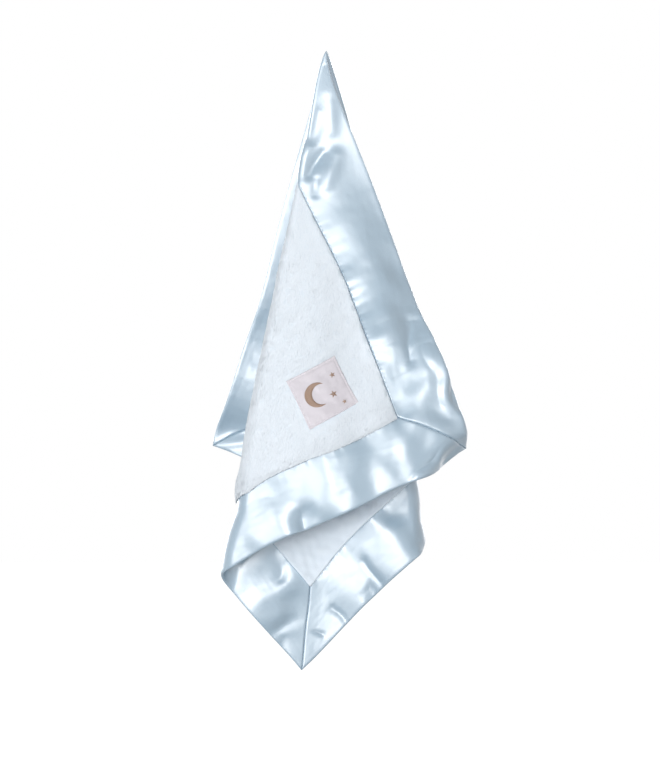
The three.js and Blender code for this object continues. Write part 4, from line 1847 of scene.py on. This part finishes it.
    def star(self, number: int) -> bpy.types.Object:
        """One star: threads run across each of its points.

        Args:
            number: Which star, from 1.

        Returns:
            The star.
        """
        *shift, size = self.stars[number - 1]
        radius = self.star_radius * size
        inner = radius * self.star_inner_share
        count = int(radius * self.star_filled_share / self.fill_pitch)
        half_point = math.pi / self.star_points
        starts, stops = [], []
        for point in range(self.star_points):
            turn = math.pi + 2 * math.pi * point / self.star_points
            tip = radius * np.array([math.cos(turn), math.sin(turn)])
            first, second = (inner * np.array([math.cos(turn + bend), math.sin(turn + bend)])
                             for bend in (-half_point, half_point))
            for share in (np.arange(count) + self.star_first_share) / count:
                starts.append(first + (tip - first) * share)
                stops.append(second + (tip - second) * share)
            for share in self.star_middle_places:
                starts.append(first * share)
                stops.append(second * share)
        centre = np.array(shift) * self.place.side
        return self.filling(f"embroidered_star_{number}", np.array(starts) + centre,
                            np.array(stops) + centre, f"patch_star_{number}")

    def build(self) -> bpy.types.Object:
        """The label with its sewing and embroidery.

        Returns:
            The label.
        """
        patch = self.patch()
        sewn = [self.edge_stitches(), self.moon()]
        sewn += [self.star(number + 1) for number in range(len(self.stars))]
        return patch


# The studio

@dataclass(frozen=True)
class Lamp:
    """A square soft lamp that faces the blanket, with its side in metres and power in watts."""

    name: str
    place: tuple[float, float, float]
    size: float
    power: float


@dataclass
class Studio:
    """A pale floor far below, soft lamps and the camera, in metres."""

    centre: tuple[float, float, float] = (-0.0031, 0.0, -0.1985)
    view_distance: float = 2.6
    view_height: float = 0.6171
    sensor_width: float = 36.0
    floor_level: float = -0.75
    floor_half: float = 7.0
    # The floor's own glow grows between two distances from its middle
    glow_start: float = 0.9
    glow_end: float = 1.9
    glow_least: float = 0.12
    ambient: float = 0.12
    # The first two draw the satin's highlights, the third lifts its right side, and the last
    # two light the back for a view from behind
    lamps: tuple[Lamp, ...] = (
        Lamp("lamp_left", (-1.8, -2.0, 0.0), 1.0, 26.0),
        Lamp("lamp_front", (-0.42, -2.65, 0.0), 0.8, 34.0),
        Lamp("lamp_right", (1.7, -2.1, 0.0), 0.8, 2.5),
        Lamp("lamp_back_left", (1.5, 2.2, 0.6), 1.2, 40.0),
        Lamp("lamp_back_right", (-1.5, 2.2, 0.2), 1.0, 30.0),
    )

    def seen_directly(self, tree: bpy.types.NodeTree) -> bpy.types.NodeSocket:
        """Tells rays that end in the picture from light that falls on things.

        Args:
            tree: The nodes to add it to.

        Returns:
            1 for camera, mirror and see-through rays, and 0 for others.
        """
        path = add_node(tree, "ShaderNodeLightPath")
        both = add_node(
            tree, "ShaderNodeMath", {"operation": "ADD", "use_clamp": True},
            {0: path.outputs["Is Camera Ray"], 1: path.outputs["Is Glossy Ray"]})
        every = add_node(
            tree, "ShaderNodeMath", {"operation": "ADD", "use_clamp": True},
            {0: both.outputs[0], 1: path.outputs["Is Transmission Ray"]})
        return every.outputs[0]

    def surround(self) -> None:
        """A white surround that lights the blanket softly."""
        world = bpy.data.worlds.new("studio")
        bpy.context.scene.world = world
        world.use_nodes = True
        tree = world.node_tree
        background = tree.nodes["Background"]
        strength = add_node(
            tree, "ShaderNodeMapRange", {"To Min": self.ambient, "To Max": 1.0},
            {"Value": self.seen_directly(tree)})
        background.inputs["Color"].default_value = (1.0, 1.0, 1.0, 1.0)
        tree.links.new(strength.outputs[0], background.inputs["Strength"])

    def floor(self) -> None:
        """A wide pale floor that keeps the blanket's shadow."""
        half, level = self.floor_half, self.floor_level
        corners = [(x * half, y * half, level) for x, y in ((-1, -1), (1, -1), (1, 1), (-1, 1))]
        mesh = bpy.data.meshes.new("studio_floor")
        mesh.from_pydata(corners, [], [(0, 1, 2, 3)])
        floor = bpy.data.objects.new("studio_floor", mesh)
        bpy.context.scene.collection.objects.link(floor)
        # Backdrop paper is matt and nearly white. Close by it keeps a soft shadow, and farther
        # out it glows, so that the eye sees one even pale ground without a horizon.
        paint = bpy.data.materials.new("matt_white_backdrop_paper")
        paint.use_nodes = True
        tree = paint.node_tree
        tree.nodes.remove(tree.nodes["Principled BSDF"])
        paper = add_node(tree, "ShaderNodeBsdfDiffuse", {"Color": linear("#ececec")})
        place = add_node(tree, "ShaderNodeNewGeometry")
        away = add_node(
            tree, "ShaderNodeVectorMath", {"operation": "DISTANCE", 1: (0.0, 0.0, level)},
            {0: place.outputs["Position"]})
        spread = add_node(
            tree, "ShaderNodeMapRange",
            {"From Min": self.glow_start, "From Max": self.glow_end, "To Min": self.glow_least},
            {"Value": away.outputs["Value"]})
        strength = add_node(
            tree, "ShaderNodeMath", {"operation": "MULTIPLY"},
            {0: self.seen_directly(tree), 1: spread.outputs[0]})
        glow = add_node(tree, "ShaderNodeEmission", {}, {"Strength": strength.outputs[0]})
        both = add_node(
            tree, "ShaderNodeAddShader", {}, {0: paper.outputs[0], 1: glow.outputs[0]})
        tree.links.new(both.outputs[0], tree.nodes["Material Output"].inputs["Surface"])
        mesh.materials.append(paint)

    def light(self, lamp: Lamp) -> None:
        """Sets up one lamp.

        Args:
            lamp: Its place, size and power.
        """
        data = bpy.data.lights.new(lamp.name, "AREA")
        data.size = lamp.size
        data.energy = lamp.power
        light = bpy.data.objects.new(lamp.name, data)
        bpy.context.scene.collection.objects.link(light)
        light.location = lamp.place
        aim = np.subtract(self.centre, lamp.place)
        level = math.hypot(aim[0], aim[1])
        turn = math.atan2(aim[1], aim[0]) - QUARTER
        light.rotation_euler = (math.atan2(level, -aim[2]), 0.0, turn)

    def camera(self) -> None:
        """A level camera that frames the blanket as in the photograph."""
        data = bpy.data.cameras.new("camera")
        data.sensor_width = self.sensor_width
        data.lens = data.sensor_width * self.view_distance / self.view_height
        camera = bpy.data.objects.new("camera", data)
        bpy.context.scene.collection.objects.link(camera)
        camera.location = (self.centre[0], -self.view_distance, self.centre[2])
        camera.rotation_euler = (QUARTER, 0.0, 0.0)
        bpy.context.scene.camera = camera

    def build(self) -> None:
        """The whole studio."""
        self.surround()
        self.floor()
        for lamp in self.lamps:
            self.light(lamp)
        self.camera()
        bpy.context.scene.view_settings.view_transform = "Standard"


def main() -> None:
    logging.basicConfig(level=logging.INFO, format="%(message)s")
    cloth = HungCloth()
    Studio().build()
    border = SatinBorder(cloth)
    border.build()
    BorderStitching(border).build()
    label = LabelPlace(cloth)
    centre = PlushCentre(cloth)
    front, back = centre.build()
    pile = BrushedPile(centre, label).build()
    SatinLabel(label).build()


if __name__ == "__main__":
    main()
